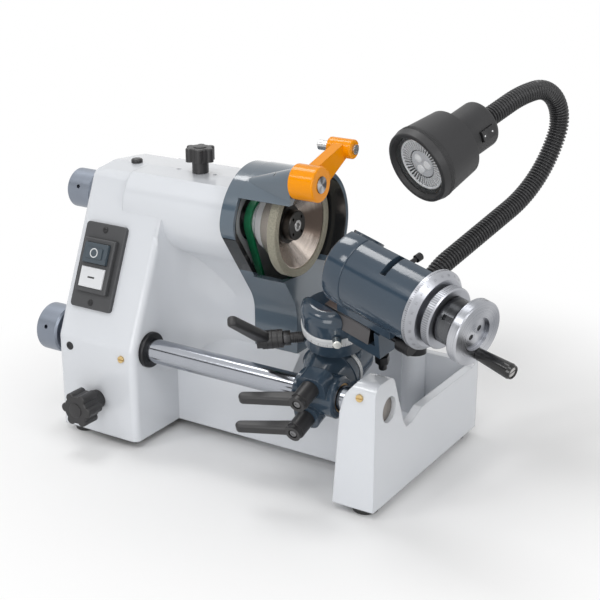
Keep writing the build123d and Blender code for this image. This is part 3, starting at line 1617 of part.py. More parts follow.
# Bore of the gooseneck along the whole route
with BuildPart() as neck_bore:
    with BuildLine(neck_plane) as route:
        for size, turn in neck_runs:
            begin = (0, neck_start) if not route.edges() else route.edges()[-1] @ 1
            ahead = (0, 1) if not route.edges() else route.edges()[-1] % 1
            if turn:
                JernArc(begin, ahead, size, turn)
            else:
                PolarLine(begin, size, direction=ahead)
    with BuildSketch(neck_section(0)):
        Circle(neck_bore_radius)
    sweep()

# Gooseneck: one rib to each pitch, each drawn by four circles
rib_pitch = neck_length / neck_ribs
with BuildPart() as gooseneck:
    for rib in range(neck_ribs):
        for share, radius in (
            (0.0, neck_radius - neck_groove),
            (0.24, neck_radius),
            (0.62, neck_radius),
            (0.86, neck_radius - neck_groove),
        ):
            with BuildSketch(neck_section((rib + share) * rib_pitch)):
                Circle(radius)
    loft(ruled=True)
    add(neck_bore.part, mode=Mode.SUBTRACT)

gooseneck.part.label = "gooseneck"
export_step(gooseneck.part, "parts/gooseneck.step")
print("neck length", round(neck_length, 1), "rib pitch", round(rib_pitch, 2))

# Lamp housing, open to the front, with a pocket for the rocker switch
lamp_line = neck_section(neck_length)
lamp_rear = -lamp_overlap
cone_start = lamp_rear + lamp_rear_length
front_start = cone_start + lamp_cone_length
lamp_end = front_start + lamp_front_length
bezel_end = lamp_end + lens_thickness + 0.2 + bezel_lip
bezel_start = bezel_end - bezel_length
rocker_frame = moved(lamp_line, (0, 0, rocker_place), (0, 0, rocker_angle))
rocker_seat = Plane(origin=rocker_frame.origin, x_dir=rocker_frame.z_dir, z_dir=rocker_frame.x_dir)
pivot_frame = moved(rocker_seat, (0, 0, lamp_rear_radius - rocker_pivot_drop))
rocker_pivot = Plane(origin=pivot_frame.origin, x_dir=pivot_frame.x_dir, z_dir=pivot_frame.y_dir)
half_pivot = rocker_width / 2 + 1.5
with BuildPart() as lamp_body:
    rod(lamp_line, lamp_rear, cone_start, lamp_rear_radius)
    fillet(lamp_body.faces().sort_by(Axis(lamp_line.origin, lamp_line.z_dir))[0].edges(), 5)
    cone(lamp_line, cone_start, front_start, lamp_rear_radius, lamp_shoulder_radius)
    cone(lamp_line, front_start, bezel_start - free, lamp_shoulder_radius, lamp_rim_radius)
    rod(lamp_line, front_start, lamp_end, lamp_front_radius - 0.6)
    rod(lamp_line, bezel_start - free, lamp_end, lamp_front_radius)
    rod(lamp_line, lamp_rear - 1, 1, neck_radius + free, Mode.SUBTRACT)
    rod(lamp_line, front_start + lamp_wall, lamp_end + 1, lamp_front_radius - lamp_wall, Mode.SUBTRACT)
    block(
        rocker_seat,
        (-rocker_length / 2 - 0.8, -rocker_width / 2 - 0.5, lamp_rear_radius - 8),
        (rocker_length / 2 + 0.8, rocker_width / 2 + 0.5, lamp_rear_radius + 5),
        Mode.SUBTRACT,
    )
    rod(rocker_pivot, -half_pivot - 0.2, half_pivot + 0.2, rocker_pivot_radius + running, Mode.SUBTRACT)

lamp_body.part.label = "lamp_body"
export_step(lamp_body.part, "parts/lamp_body.step")

with BuildPart() as lamp_bezel:
    rod(lamp_line, bezel_start, bezel_end - bezel_bevel_length, bezel_radius)
    cone(lamp_line, bezel_end - bezel_bevel_length, bezel_end, bezel_radius, bezel_front_radius)
    chamfer(lamp_bezel.faces().sort_by(Axis(lamp_line.origin, lamp_line.z_dir))[-1].edges(), 0.8)
    lip_start = bezel_end - bezel_lip
    rod(lamp_line, bezel_start - 1, lip_start, lamp_front_radius + seat, Mode.SUBTRACT)
    cone(
        lamp_line,
        lip_start,
        bezel_end + 0.01,
        lens_opening_radius,
        lens_opening_radius + 3,
        Mode.SUBTRACT,
    )

lamp_bezel.part.label = "lamp_bezel"
export_step(lamp_bezel.part, "parts/lamp_bezel.step")

with BuildPart() as lamp_lens:
    rod(lamp_line, lamp_end + 0.1, lamp_end + 0.1 + lens_thickness, lamp_front_radius - 0.5)

lamp_lens.part.label = "lamp_lens"
export_step(lamp_lens.part, "parts/lamp_lens.step")

# Rocker of the lamp switch, its two faces falling away from the middle
with BuildPart() as lamp_rocker:
    with BuildSketch(facing(rocker_seat, rocker_width / 2)):
        with BuildLine():
            Polyline(
                (-rocker_length / 2, lamp_rear_radius - 4),
                (rocker_length / 2, lamp_rear_radius - 4),
                (rocker_length / 2, lamp_rear_radius + 2.5),
                (0, lamp_rear_radius + 1),
                (-rocker_length / 2, lamp_rear_radius + 2.5),
                close=True,
            )
        make_face()
    extrude(amount=rocker_width)
    rod(rocker_pivot, -half_pivot, half_pivot, rocker_pivot_radius)

lamp_rocker.part.label = "lamp_rocker"
export_step(lamp_rocker.part, "parts/lamp_rocker.step")
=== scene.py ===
# %% [markdown]
# # A cutter grinder, dressed in Blender
# The machine grinds small engraving cutters. A white casting carries a cup wheel under a hood, and a work
# head that slides along a polished bar. The solids come from CAD and are already in their places, so this
# lesson gives them finishes and adds the small forms that solids leave out. The frame is loaded first.

# %% Load the frame
import json
from math import cos, pi, radians, sin, tan

import bpy
from mathutils import Matrix, Vector

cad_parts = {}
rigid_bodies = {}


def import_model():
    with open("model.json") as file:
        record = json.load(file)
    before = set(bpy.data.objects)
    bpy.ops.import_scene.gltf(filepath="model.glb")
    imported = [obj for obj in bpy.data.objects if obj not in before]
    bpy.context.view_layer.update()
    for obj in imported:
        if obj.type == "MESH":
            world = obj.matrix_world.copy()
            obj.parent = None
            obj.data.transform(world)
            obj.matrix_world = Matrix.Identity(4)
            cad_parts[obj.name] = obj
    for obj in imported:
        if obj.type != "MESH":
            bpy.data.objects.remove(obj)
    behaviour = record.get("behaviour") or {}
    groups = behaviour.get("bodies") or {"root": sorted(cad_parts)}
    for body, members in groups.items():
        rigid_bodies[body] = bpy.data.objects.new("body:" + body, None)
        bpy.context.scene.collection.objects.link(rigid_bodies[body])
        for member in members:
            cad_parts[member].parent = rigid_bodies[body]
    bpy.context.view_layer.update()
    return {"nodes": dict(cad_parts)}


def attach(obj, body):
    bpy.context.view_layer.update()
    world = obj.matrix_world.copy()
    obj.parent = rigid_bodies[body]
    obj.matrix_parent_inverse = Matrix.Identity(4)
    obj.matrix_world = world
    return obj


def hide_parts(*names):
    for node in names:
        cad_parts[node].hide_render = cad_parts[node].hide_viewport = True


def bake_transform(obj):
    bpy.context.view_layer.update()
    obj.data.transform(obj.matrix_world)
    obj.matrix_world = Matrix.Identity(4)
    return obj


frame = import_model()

nodes = frame["nodes"]
print("solids loaded:", len(nodes))

# %% [markdown]
# Most of the machine is built on a few straight lines: the guide bar, the wheel's spindle, the work head's
# axis. The CAD turns each group about its own joint, so a screw on the head leans three ways at once. It is
# easier to model a piece upright at the origin and then set it on a frame, as a fitter sets it on a jig.
# Each jig below is a matrix made from the one that carries it. Its place is given in millimetres.

# %% The jigs
MM = 0.001
UP = Vector((0, 0, 1))
BAR_Y, BAR_Z = -195, 95
FRONT_Y = -222
PANEL_SLOPE, PANEL_RISE = 23, 71.5


def jig(place, turn=0.0, axis="X", carrier=Matrix.Identity(4)):
    """Frame at a place in millimetres on a carrier, turned there about one of its axes."""
    return carrier @ Matrix.Translation(Vector(place) * MM) @ Matrix.Rotation(radians(turn), 4, axis)


def along(origin, x_axis, z_axis):
    """Frame from an origin in metres, an x direction and a z direction."""
    x_axis, z_axis = Vector(x_axis).normalized(), Vector(z_axis).normalized()
    turn = Matrix((x_axis, z_axis.cross(x_axis), z_axis)).transposed()
    return Matrix.Translation(origin) @ turn.to_4x4()


machine = jig((-43.3, 34.93, 8))
bar = jig((0, BAR_Y, BAR_Z), 90, "Y", machine)
carriage = jig((109, BAR_Y, BAR_Z), 18, "X", machine)
elbow = jig((0, 47, 0), 5, "Y", carriage)
tilt = jig((0, 0, 0), -90, "X", elbow)
swivel = jig((0, 0, 48.5), -16, "Z", elbow)
head = jig((0, 0, 79), 90, "Y", swivel)
spindle = jig((0, -121, 228.5), 90, "Y", machine)
dresser = jig((60, -156, 284), 90, "Y", machine)
motor = jig((0, -57, 112), 90, "Y", machine)
index_screw = jig((0, 0, 5), -42, "Z", swivel)
front = jig((0, FRONT_Y, 0), 90, "X", machine)
panel_y = FRONT_Y + PANEL_RISE * tan(radians(PANEL_SLOPE))
panel = jig((-151, panel_y, 171.5), 90 - PANEL_SLOPE, "X", machine)
print("work axis points to", [round(v, 3) for v in head.to_3x3().col[2]])

# %% [markdown]
# A finish is a small network of nodes. Writing each node and each link by hand hides the idea, so one class
# wraps a socket: adding or multiplying two of them adds the Math node that does it. Every other node comes
# from its one general method, which sets the node's options first and then its sockets.

# %% Shader arithmetic
class Shade:
    """One socket of a finish. Sums and products with it add Math nodes."""

    def __init__(self, tree, socket=None):
        self.tree = tree
        self.socket = socket

    def node(self, kind, settings=None, output=0, **values):
        """Adds a node. Its sockets are given by name or, as i0, i1 and so on, by number."""
        made = self.tree.nodes.new(kind)
        for key, value in (settings or {}).items():
            setattr(made, key, value)
        for key, value in values.items():
            socket = made.inputs[int(key[1:]) if key[1:].isdigit() else key.replace("_", " ")]
            if isinstance(value, Shade):
                self.tree.links.new(value.socket, socket)
            else:
                socket.default_value = value
        return Shade(self.tree, made.outputs[output] if made.outputs else None)

    def out(self, label):
        """Another output of the same node."""
        return Shade(self.tree, self.socket.node.outputs[label])

    def math(self, operation, other=0.0, swap=False):
        first, second = (other, self) if swap else (self, other)
        return self.node("ShaderNodeMath", {"operation": operation}, i0=first, i1=second)

    def __add__(self, other):
        return self.math("ADD", other)

    def __sub__(self, other):
        return self.math("SUBTRACT", other)

    def __rsub__(self, other):
        return self.math("SUBTRACT", other, swap=True)

    def __mul__(self, other):
        return self.math("MULTIPLY", other)

    __radd__ = __add__
    __rmul__ = __mul__


print("shader arithmetic ready")

# %% [markdown]
# The finishes share a few parts: a material with its object coordinates, a mix of two colours, a noise that
# is counted per metre, a bump, and a Bevel node that rounds the light over the sharp edges of the solids.

# %% Parts of a finish
finishes = {}


def blank(name):
    """New material with an empty tree, and its object coordinates."""
    material = bpy.data.materials.new(name)
    material.use_nodes = True
    material.node_tree.nodes.clear()
    place = Shade(material.node_tree).node("ShaderNodeTexCoord", output="Object")
    return material, place


def mixed(factor, first, second):
    """Colour between two colours, each a socket or three numbers."""
    first, second = (c if isinstance(c, Shade) else (*c, 1) for c in (first, second))
    return factor.node("ShaderNodeMix", {"data_type": "RGBA"}, output=2, i0=factor, i6=first, i7=second)


def grain(place, scale, detail=2.0, roughness=0.5):
    """Noise value at a scale counted per metre."""
    return place.node("ShaderNodeTexNoise", Vector=place, Scale=scale, Detail=detail, Roughness=roughness)


def rounded(place, radius):
    """Normal that is rounded over sharp edges; the radius is in metres."""
    return place.node("ShaderNodeBevel", {"samples": 4}, Radius=radius)


def bumped(height, strength, distance, normal=None):
    """Normal raised by a height value; the distance is in metres."""
    extra = {} if normal is None else {"Normal": normal}
    return height.node("ShaderNodeBump", Height=height, Strength=strength, Distance=distance, **extra)


def surface(material, place, **sockets):
    """Principled shader on the material's output. The finish is kept under the material's name."""
    shader = place.node("ShaderNodeBsdfPrincipled", **sockets)
    place.node("ShaderNodeOutputMaterial", Surface=shader)
    finishes[material.name] = material


print("parts of a finish ready")

# %% [markdown]
# The castings are filled, rubbed down and sprayed with gloss enamel. Up close such paint is never flat: it
# has the slight pebble of sprayed enamel, slow waves from the filler underneath, a little cloudiness in its
# gloss, and soft rounded edges. Noises make the pebble, waves and clouds. Inside the hood, about the
# spindle, the shade is painted: there the paint's colour turns near black.

# %% Enamel
# Near-black colours of the painted shade inside the hood.
PAINTED_SHADE_DARK, PAINTED_SHADE_PALE = (0.008, 0.009, 0.010), (0.020, 0.021, 0.022)


def enamel(name, colour, dull, roughness, edge, coat, specular=0.5, painted_shade_radius=0.0):
    """Gloss enamel over a casting. The rounding of its edges and the radius of the painted shade are in
    metres.
    """
    material, place = blank(name)
    cloud = grain(place, 9.0, 3.0)
    speck = grain(place, 900.0, 1.0)
    pebble = grain(place, 420.0, 1.0)
    wave = grain(place, 26.0, 1.0)
    paint = mixed(cloud * 0.7 + speck * 0.3, dull, colour)
    # Painted shade: within this radius of the spindle, inside the hood, the colour turns near black.
    if painted_shade_radius:
        centre = spindle.to_translation()
        split = place.node("ShaderNodeSeparateXYZ", Vector=place)
        y, z = split.out("Y") - centre.y, split.out("Z") - centre.z
        inside = (y * y + z * z).math("SQRT").math("LESS_THAN", painted_shade_radius)
        paint = mixed(inside, paint, mixed(speck, PAINTED_SHADE_DARK, PAINTED_SHADE_PALE))
    surface(
        material,
        place,
        Base_Color=paint,
        Roughness=roughness + cloud * 0.07 + speck * 0.02,
        Normal=bumped(pebble, 0.09, 0.0004, bumped(wave, 0.16, 0.0012, rounded(place, edge))),
        Specular_IOR_Level=specular,
        Coat_Weight=coat,
        Coat_Roughness=0.04,
    )


ENAMELS = (
    # name, colour, dull colour, roughness, edge, coat, other settings
    ("white_enamel", (0.660, 0.680, 0.712), (0.615, 0.636, 0.670), 0.18, 0.0020, 0.35, {}),
    ("slate_enamel", (0.038, 0.060, 0.086), (0.031, 0.050, 0.074), 0.09, 0.0010, 0.20, {"specular": 0.4}),
    # The guard's paint has painted shade inside the hood.
    ("guard_enamel", (0.088, 0.120, 0.152), (0.076, 0.105, 0.135), 0.09, 0.0010, 0.50, {"painted_shade_radius": 0.0536}),
    ("orange_enamel", (0.870, 0.315, 0.001), (0.810, 0.268, 0.001), 0.16, 0.0008, 0.25, {"specular": 0.08}),
)
for *values, others in ENAMELS:
    enamel(*values, **others)
print("enamels:", list(finishes))

# %% [markdown]
# Knobs, levers, lamp and switch are moulded. A mould leaves a fine etched grain that scatters light, and
# handling polishes it in places. The same recipe serves all of them with another colour, grain and gloss.

# %% Moulded plastic
def moulded(name, colour, worn, roughness, grains, depth):
    """Moulded plastic with etched grain: grains per metre, and their depth in metres."""
    material, place = blank(name)
    etched = grain(place, grains, 2.0, 0.6)
    handled = grain(place, 35.0, 2.0)
    surface(
        material,
        place,
        Base_Color=mixed(handled * 0.6 + etched * 0.4, colour, worn),
        Roughness=roughness + handled * 0.12 + etched * 0.05,
        Normal=bumped(etched, 0.25, depth, rounded(place, 0.0006)),
    )


PLASTICS = (
    # name, colour, worn colour, roughness, grains per metre, depth of the grain
    ("lever_black", (0.014, 0.014, 0.015), (0.026, 0.025, 0.026), 0.30, 2200.0, 0.00012),
    ("lamp_black", (0.013, 0.013, 0.014), (0.022, 0.022, 0.024), 0.40, 2600.0, 0.00012),
    ("neck_black", (0.012, 0.012, 0.013), (0.022, 0.022, 0.024), 0.28, 1500.0, 0.00006),
    # Black fill of engravings and signs, and painted shade in holes.
    ("black_fill_and_hole_shade", (0.014, 0.014, 0.015), (0.026, 0.026, 0.027), 0.45, 1800.0, 0.00003),
    ("handle_black", (0.0060, 0.0060, 0.0065), (0.0090, 0.0090, 0.0095), 0.10, 900.0, 0.00002),
    ("flag_cloth", (0.012, 0.012, 0.012), (0.024, 0.024, 0.024), 0.75, 1200.0, 0.00020),
    ("foot_rubber", (0.016, 0.016, 0.016), (0.030, 0.030, 0.029), 0.60, 1800.0, 0.00020),
    ("switch_grey", (0.045, 0.046, 0.049), (0.060, 0.061, 0.064), 0.36, 2400.0, 0.00010),
    ("stop_slate", (0.048, 0.066, 0.082), (0.060, 0.080, 0.098), 0.08, 700.0, 0.00002),
    ("start_white", (0.640, 0.650, 0.670), (0.690, 0.700, 0.715), 0.22, 900.0, 0.00002),
    ("printed_white", (0.720, 0.730, 0.740), (0.660, 0.670, 0.680), 0.40, 1500.0, 0.00003),
    ("cell_bed", (0.480, 0.492, 0.520), (0.600, 0.615, 0.645), 0.16, 700.0, 0.00020),
    ("bright_cell", (0.860, 0.870, 0.885), (0.760, 0.775, 0.795), 0.18, 900.0, 0.00010),
)
for values in PLASTICS:
    moulded(*values)
print("plastics:", len(PLASTICS))

# %% [markdown]
# Turned metal shows the path of the tool: hair-fine rings about the axis of the lathe, on the round and on
# the end faces alike. The rings must follow each piece's own axis, so a Mapping node brings the object
# coordinates onto the jig first. The distance from the axis and the height along it, many times magnified,
# then feed one noise. Bright sectors across the face, as on a record, are a painted reflection: the colour
# is lightened and darkened by the angle about the axis.

# %% Turned metal
def turned(name, axis, colour, shade, roughness, rings, metallic=1.0, depth=0.00003, painted_fans=0.0):
    """Metal turned about a jig's z axis; rings are tool marks per metre, painted_fans a painted reflection.
    """
    material, place = blank(name)
    back = axis.inverted()
    local = place.node(
        "ShaderNodeMapping", Vector=place, Location=back.to_translation(), Rotation=back.to_euler("XYZ")
    )
    split = local.node("ShaderNodeSeparateXYZ", Vector=local)
    x, y, z = (split.out(letter) for letter in "XYZ")
    radius = (x * x + y * y).math("SQRT")
    path = place.node("ShaderNodeCombineXYZ", X=radius * rings, Y=z * rings, Z=x * 12.0)
    marks = grain(path, 1.0, 2.0, 0.6)
    stain = grain(place, 60.0, 3.0)
    tint = marks * 0.55 + stain * 0.45
    # Painted reflection: bright and dark sectors by the angle about the axis, painted into the colour.
    if painted_fans:
        angle = y.math("ARCTAN2", x)
        painted_sheen = (angle * 3.0 + 0.7).math("SINE") * 0.5 + (angle + 2.6).math("SINE") * 0.5
        tint = (tint + painted_sheen * painted_fans).math("MAXIMUM", 0.0).math("MINIMUM", 1.0)
    surface(
        material,
        place,
        Base_Color=mixed(tint, shade, colour),
        Roughness=roughness + marks * 0.14 + stain * 0.05,
        Metallic=metallic,
        Normal=bumped(marks, 0.35, depth, rounded(place, 0.0004)),
    )


print("turned metal ready")

# %% [markdown]
# The list of metals goes from bright to dark. A painted scale is only a little metallic, and a polished bar
# has finer and shallower marks than a turned knob.

# %% List of metals
# Painted reflection: the cup, handwheel, dresser shaft and nut get bright and dark sectors in their colour.
CUP = {"metallic": 0.8, "depth": 0.00002, "painted_fans": 0.9}
DULL, SCALE = {"metallic": 0.45}, {"metallic": 0.15}
METALS = (
    # name, axis, colour, shade, roughness, rings per metre, other settings
    ("index_bright", index_screw, (0.86, 0.86, 0.82), (0.72, 0.72, 0.68), 0.12, 2500.0, {}),
    ("pulley_bright", spindle, (0.820, 0.825, 0.840), (0.700, 0.705, 0.720), 0.22, 2600.0, DULL),
    ("scale_swivel", elbow, (0.70, 0.71, 0.72), (0.62, 0.63, 0.64), 0.34, 2400.0, SCALE),
    ("scale_tilt", tilt, (0.70, 0.71, 0.72), (0.62, 0.63, 0.64), 0.34, 2400.0, SCALE),
    # The cup's near-black shade colour is painted dark reflection, mixed in by its sectors and marks.
    ("cup_steel", spindle, (0.860, 0.760, 0.680), (0.070, 0.052, 0.042), 0.12, 3200.0, CUP),
    ("spindle_steel", spindle, (0.62, 0.62, 0.62), (0.46, 0.46, 0.46), 0.16, 3000.0, {}),
    ("wheel_aluminium", head, (0.560, 0.570, 0.600), (0.220, 0.230, 0.255), 0.20, 1500.0, {"painted_fans": 0.45}),
    ("head_steel", head, (0.55, 0.54, 0.53), (0.38, 0.375, 0.37), 0.22, 2600.0, {}),
    ("head_aluminium", head, (0.470, 0.480, 0.510), (0.310, 0.320, 0.350), 0.26, 2600.0, {}),
    ("ground_bar", bar, (0.430, 0.448, 0.485), (0.360, 0.376, 0.412), 0.05, 6000.0, {"depth": 0.00001}),
    ("dresser_steel", dresser, (0.460, 0.460, 0.470), (0.050, 0.050, 0.055), 0.14, 2000.0, {"painted_fans": 0.7}),
    ("bar_end_steel", bar, (0.330, 0.305, 0.285), (0.240, 0.222, 0.205), 0.42, 1800.0, {}),
    ("screw_brass", front, (0.78, 0.58, 0.28), (0.60, 0.43, 0.20), 0.20, 3000.0, {}),
    ("bush_bronze", bar, (0.55, 0.36, 0.18), (0.42, 0.27, 0.13), 0.28, 2600.0, {}),
    ("bar_aluminium", bar, (0.290, 0.320, 0.375), (0.215, 0.240, 0.285), 0.30, 2200.0, {}),
    ("quill_aluminium", spindle, (0.290, 0.320, 0.375), (0.215, 0.240, 0.285), 0.30, 2200.0, {}),
    ("screw_dull", front, (0.300, 0.300, 0.305), (0.190, 0.190, 0.195), 0.25, 2500.0, {}),
    ("knurl_grey", head, (0.290, 0.297, 0.320), (0.200, 0.205, 0.222), 0.40, 1500.0, {}),
    ("motor_grey", motor, (0.16, 0.17, 0.18), (0.11, 0.115, 0.12), 0.40, 900.0, {"metallic": 0.3}),
    ("slide_steel", head, (0.150, 0.145, 0.148), (0.085, 0.082, 0.084), 0.24, 2600.0, {}),
    ("nut_steel", head, (0.120, 0.123, 0.130), (0.018, 0.019, 0.021), 0.15, 1200.0, {"painted_fans": 0.6}),
    ("screw_dark", front, (0.070, 0.070, 0.072), (0.040, 0.040, 0.042), 0.30, 2500.0, {}),
    ("flange_black", spindle, (0.060, 0.058, 0.056), (0.036, 0.035, 0.034), 0.30, 2400.0, {}),
    ("bar_black", bar, (0.055, 0.055, 0.057), (0.030, 0.030, 0.032), 0.28, 2400.0, {}),
    ("head_black", head, (0.050, 0.050, 0.052), (0.028, 0.028, 0.030), 0.26, 2400.0, {}),
)
for *values, others in METALS:
    turned(*values, **others)
print("metals:", len(METALS))

# %% [markdown]
# The wheel's rim is bonded grit, so its colour is a crowd of tiny grains and its surface is rough all over.
# The belt is a woven band with a green coating, and the weave still shows through: two waves that cross.

# %% Grit and belt
material, place = blank("bonded_grit")
grains = place.node("ShaderNodeTexVoronoi", Vector=place, Scale=2600.0)
fleck = (grain(place, 780.0, 3.0, 0.75) - 0.5) * 1.9 + 0.5
patch = grain(place, 45.0, 2.0)
bond = mixed(fleck, (0.090, 0.084, 0.062), (0.400, 0.380, 0.300))
grit = mixed(grains * 0.35, bond, (0.440, 0.425, 0.350))
surface(
    material,
    place,
    Base_Color=mixed(patch * 0.35, grit, (0.170, 0.158, 0.120)),
    Roughness=0.80 + fleck * 0.15,
    Normal=bumped(fleck, 0.6, 0.0003),
)

material, place = blank("woven_belt")
warp = place.node(
    "ShaderNodeTexWave", {"bands_direction": "X"}, output=1, Vector=place, Scale=420.0, Distortion=0.6
)
weft = place.node("ShaderNodeTexWave", {"bands_direction": "DIAGONAL"}, output=1, Vector=place, Scale=380.0)
weave = warp * weft
worn = grain(place, 70.0, 3.0)
surface(
    material,
    place,
    Base_Color=mixed(weave * 0.5 + worn * 0.5, (0.002, 0.130, 0.050), (0.008, 0.330, 0.135)),
    Roughness=0.38 + worn * 0.2,
    Normal=bumped(weave, 0.25, 0.0003),
)
print("grit and belt ready")

# %% [markdown]
# The lamp's cover is clear, with a faint haze, and lets the light behind it be seen. The parts of the light
# itself are frosted, like a moulded lens.

# %% Clear cover and frosted cell
material, place = blank("clear_cover")
haze = grain(place, 500.0, 2.0)
surface(
    material,
    place,
    Base_Color=(0.93, 0.96, 0.97, 1),
    Roughness=0.02 + haze * 0.05,
    Alpha=0.02 + haze * 0.03,
    Specular_IOR_Level=0.2,
)

material, place = blank("frosted_cell")
frost = grain(place, 300.0, 2.0)
surface(
    material,
    place,
    Base_Color=mixed(frost, (0.640, 0.660, 0.685), (0.860, 0.870, 0.885)),
    Roughness=0.30 + frost * 0.2,
    Normal=bumped(frost, 0.4, 0.0004),
)
print("finishes:", len(finishes))

# %% [markdown]
# Now every solid gets its finish. A table from finish to solids reads like a paint shop's job list, and an
# assertion makes sure that no solid was forgotten.

# %% Paint the solids
jobs = {
    "white_enamel": ["base_casting"],
    "guard_enamel": ["wheel_guard"],
    "slate_enamel": ["carriage", "tilt_elbow", "slide_base", "head_body"],
    "orange_enamel": ["dresser_arm"],
    "lever_black": [
        "tilt_clamp_lever", "bar_clamp_lever", "swivel_clamp_lever",
        "quill_lock_knob", "belt_lock_knob", "oil_plug",
    ],
    "lamp_black": ["lamp_body", "lamp_bezel", "lamp_socket", "lamp_rocker"],
    "neck_black": ["gooseneck"],
    "switch_grey": ["switch_plate", "switch_body"],
    "stop_slate": ["stop_button"],
    "start_white": ["start_button"],
    "handle_black": ["crank_handle"],
    "foot_rubber": ["rubber_feet"],
    "head_aluminium": ["index_ring", "lock_ring"],
    "wheel_aluminium": ["handwheel"],
    "bar_aluminium": ["bar_knob"],
    "quill_aluminium": ["quill_knob"],
    "ground_bar": ["guide_bar"],
    "cup_steel": ["wheel_body"],
    "pulley_bright": ["spindle_pulley"],
    "spindle_steel": ["wheel_bolt", "spindle", "quill", "spindle_bearings", "diamond_holder"],
    "head_steel": ["collet", "handle_screw"],
    "flange_black": ["wheel_flange"],
    "dresser_steel": ["dresser_shaft"],
    "slide_steel": ["head_slide"],
    "head_black": ["feed_screw", "stop_bolt", "spindle_clamp_screw"],
    "nut_steel": ["draw_nut", "work_spindle"],
    "bar_black": ["bar_collar", "bottom_plate"],
    "index_bright": ["swivel_index_screw"],
    "scale_swivel": ["swivel_scale_ring"],
    "scale_tilt": ["tilt_scale_ring"],
    "screw_brass": ["brass_screws"],
    "bush_bronze": ["carriage_bush"],
    "motor_grey": ["motor", "motor_pulley"],
    "bonded_grit": ["abrasive_rim"],
    "woven_belt": ["drive_belt"],
    "clear_cover": ["lamp_lens"],
}
painted = {name: finish for finish, names in jobs.items() for name in names}
assert set(painted) == set(nodes), set(painted) ^ set(nodes)
for name, finish in painted.items():
    nodes[name].data.materials.clear()
    nodes[name].data.materials.append(finishes[finish])
print("painted solids:", len(painted))

# %% [markdown]
# The small forms come next. They are modelled as by hand: add a primitive at the origin, select faces or
# vertices by their place, inset, extrude or bevel them, then set the finished piece on its jig and let it
# ride on a body. Short helpers keep the selections clean, because an operator acts on everything that is
# selected.

# %% Hand tools
def object_mode():
    """Leaves edit mode, if a piece is in it."""
    if bpy.context.mode != "OBJECT":
        bpy.ops.object.mode_set(mode="OBJECT")


def fresh():
    """Object mode, with nothing selected."""
    object_mode()
    bpy.ops.object.select_all(action="DESELECT")


def pick(test, kind="FACE"):
    """Edit mode on the active piece, with only the faces or vertices that pass the test selected."""
    piece = bpy.context.active_object
    bpy.ops.object.mode_set(mode="EDIT")
    bpy.ops.mesh.select_mode(type=kind)
    bpy.ops.mesh.select_all(action="DESELECT")
    bpy.ops.object.mode_set(mode="OBJECT")
    if kind == "FACE":
        for face in piece.data.polygons:
            face.select = bool(test(face.center))
    else:
        for point in piece.data.vertices:
            point.select = bool(test(point.co))
    bpy.ops.object.mode_set(mode="EDIT")


def raised(height):
    """Extrudes the picked faces along z."""
    bpy.ops.mesh.extrude_region_move(TRANSFORM_OT_translate={"value": (0, 0, height)})


def applied(kind, **settings):
    """Adds a modifier to the active piece and applies it."""
    object_mode()
    piece = bpy.context.active_object
    modifier = piece.modifiers.new(kind.lower(), kind)
    for key, value in settings.items():
        setattr(modifier, key, value)
    bpy.ops.object.modifier_apply(modifier=modifier.name)


def placed(name, jig_matrix, body, finish, angle=35):
    """Sets the active piece on its jig, paints it and lets it ride on a body."""
    object_mode()
    piece = bpy.context.active_object
    piece.name = piece.data.name = name
    piece.matrix_world = jig_matrix @ piece.matrix_world
    bpy.ops.object.transform_apply(location=True, rotation=True, scale=True)
    bpy.ops.object.shade_smooth_by_angle(angle=radians(angle))
    piece.data.materials.clear()
    piece.data.materials.append(finishes[finish])
    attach(piece, body)


print("hand tools ready")

# %% [markdown]
# The lamp stands on a gooseneck, a steel coil in a ribbed black sleeve that bends and stays where it is put.
# Its line lies in one upright plane, as straights and bends that follow each other. Each bend is one piece
# of a Bezier curve, whose handles are as long as those that lie closest to a circle.

# %% The arm's line
NECK_TURN = radians(70)
NECK_LIFT = 14
NECK_RUNS = (  # length or radius in millimetres, turn in degrees
    (10, 0), (75.5, -66), (97, 0), (132, 45), (38.7, 57.75), (38.7, 57.75), (140, 16.5), (51, 0),
)
neck_foot = machine @ Vector((0.121, -0.014, 0.075))
neck_across = Vector((cos(NECK_TURN), sin(NECK_TURN), 0))
neck_normal = Vector((sin(NECK_TURN), -cos(NECK_TURN), 0))


def neck_space(flat):
    """Point of the arm's upright plane, in millimetres, set in space."""
    return neck_foot + (neck_across * flat[0] + UP * flat[1]) * MM


spot, heading, neck_length = Vector((0, NECK_LIFT)), radians(90), 0.0
knots = [(spot.copy(), heading, 0.0, 0.0)]
for size, turn in NECK_RUNS:
    swing = radians(turn)
    if turn:
        side = size if turn > 0 else -size
        chord = Vector((sin(heading + swing) - sin(heading), cos(heading) - cos(heading + swing)))
        spot = spot + side * chord
        reach, length = abs(4 / 3 * tan(swing / 4)) * size, abs(swing) * size
    else:
        spot = spot + size * Vector((cos(heading), sin(heading)))
        reach, length = size / 3, size
    heading += swing
    neck_length += length * MM
    knots[-1] = (*knots[-1][:3], reach)
    knots.append((spot.copy(), heading, reach, 0.0))

route = bpy.data.curves.new("neck_route", "CURVE")
route.dimensions = "3D"
route.resolution_u = 24
spline = route.splines.new("BEZIER")
spline.bezier_points.add(len(knots) - 1)
for point, (flat, way, before, after) in zip(spline.bezier_points, knots):
    ahead = Vector((cos(way), sin(way)))
    point.handle_left_type = point.handle_right_type = "FREE"
    point.co = neck_space(flat)
    point.handle_left = neck_space(flat - ahead * max(before, 1))
    point.handle_right = neck_space(flat + ahead * max(after, 1))
route_object = bpy.data.objects.new("neck_route", route)
bpy.context.scene.collection.objects.link(route_object)
print("neck length", round(neck_length, 4))

# %% [markdown]
# One rib of the sleeve is a circle, extruded a few times and scaled at the crown. An Array repeats it, and a
# Curve modifier lays the straight sleeve along the arm's line.

# %% Ribbed sleeve
NECK_CROWN, NECK_VALLEY, NECK_RIBS = 10.6 * MM, 8.8 * MM, 128
UPPER_BEND = 5
END_SLACK = 1e-5

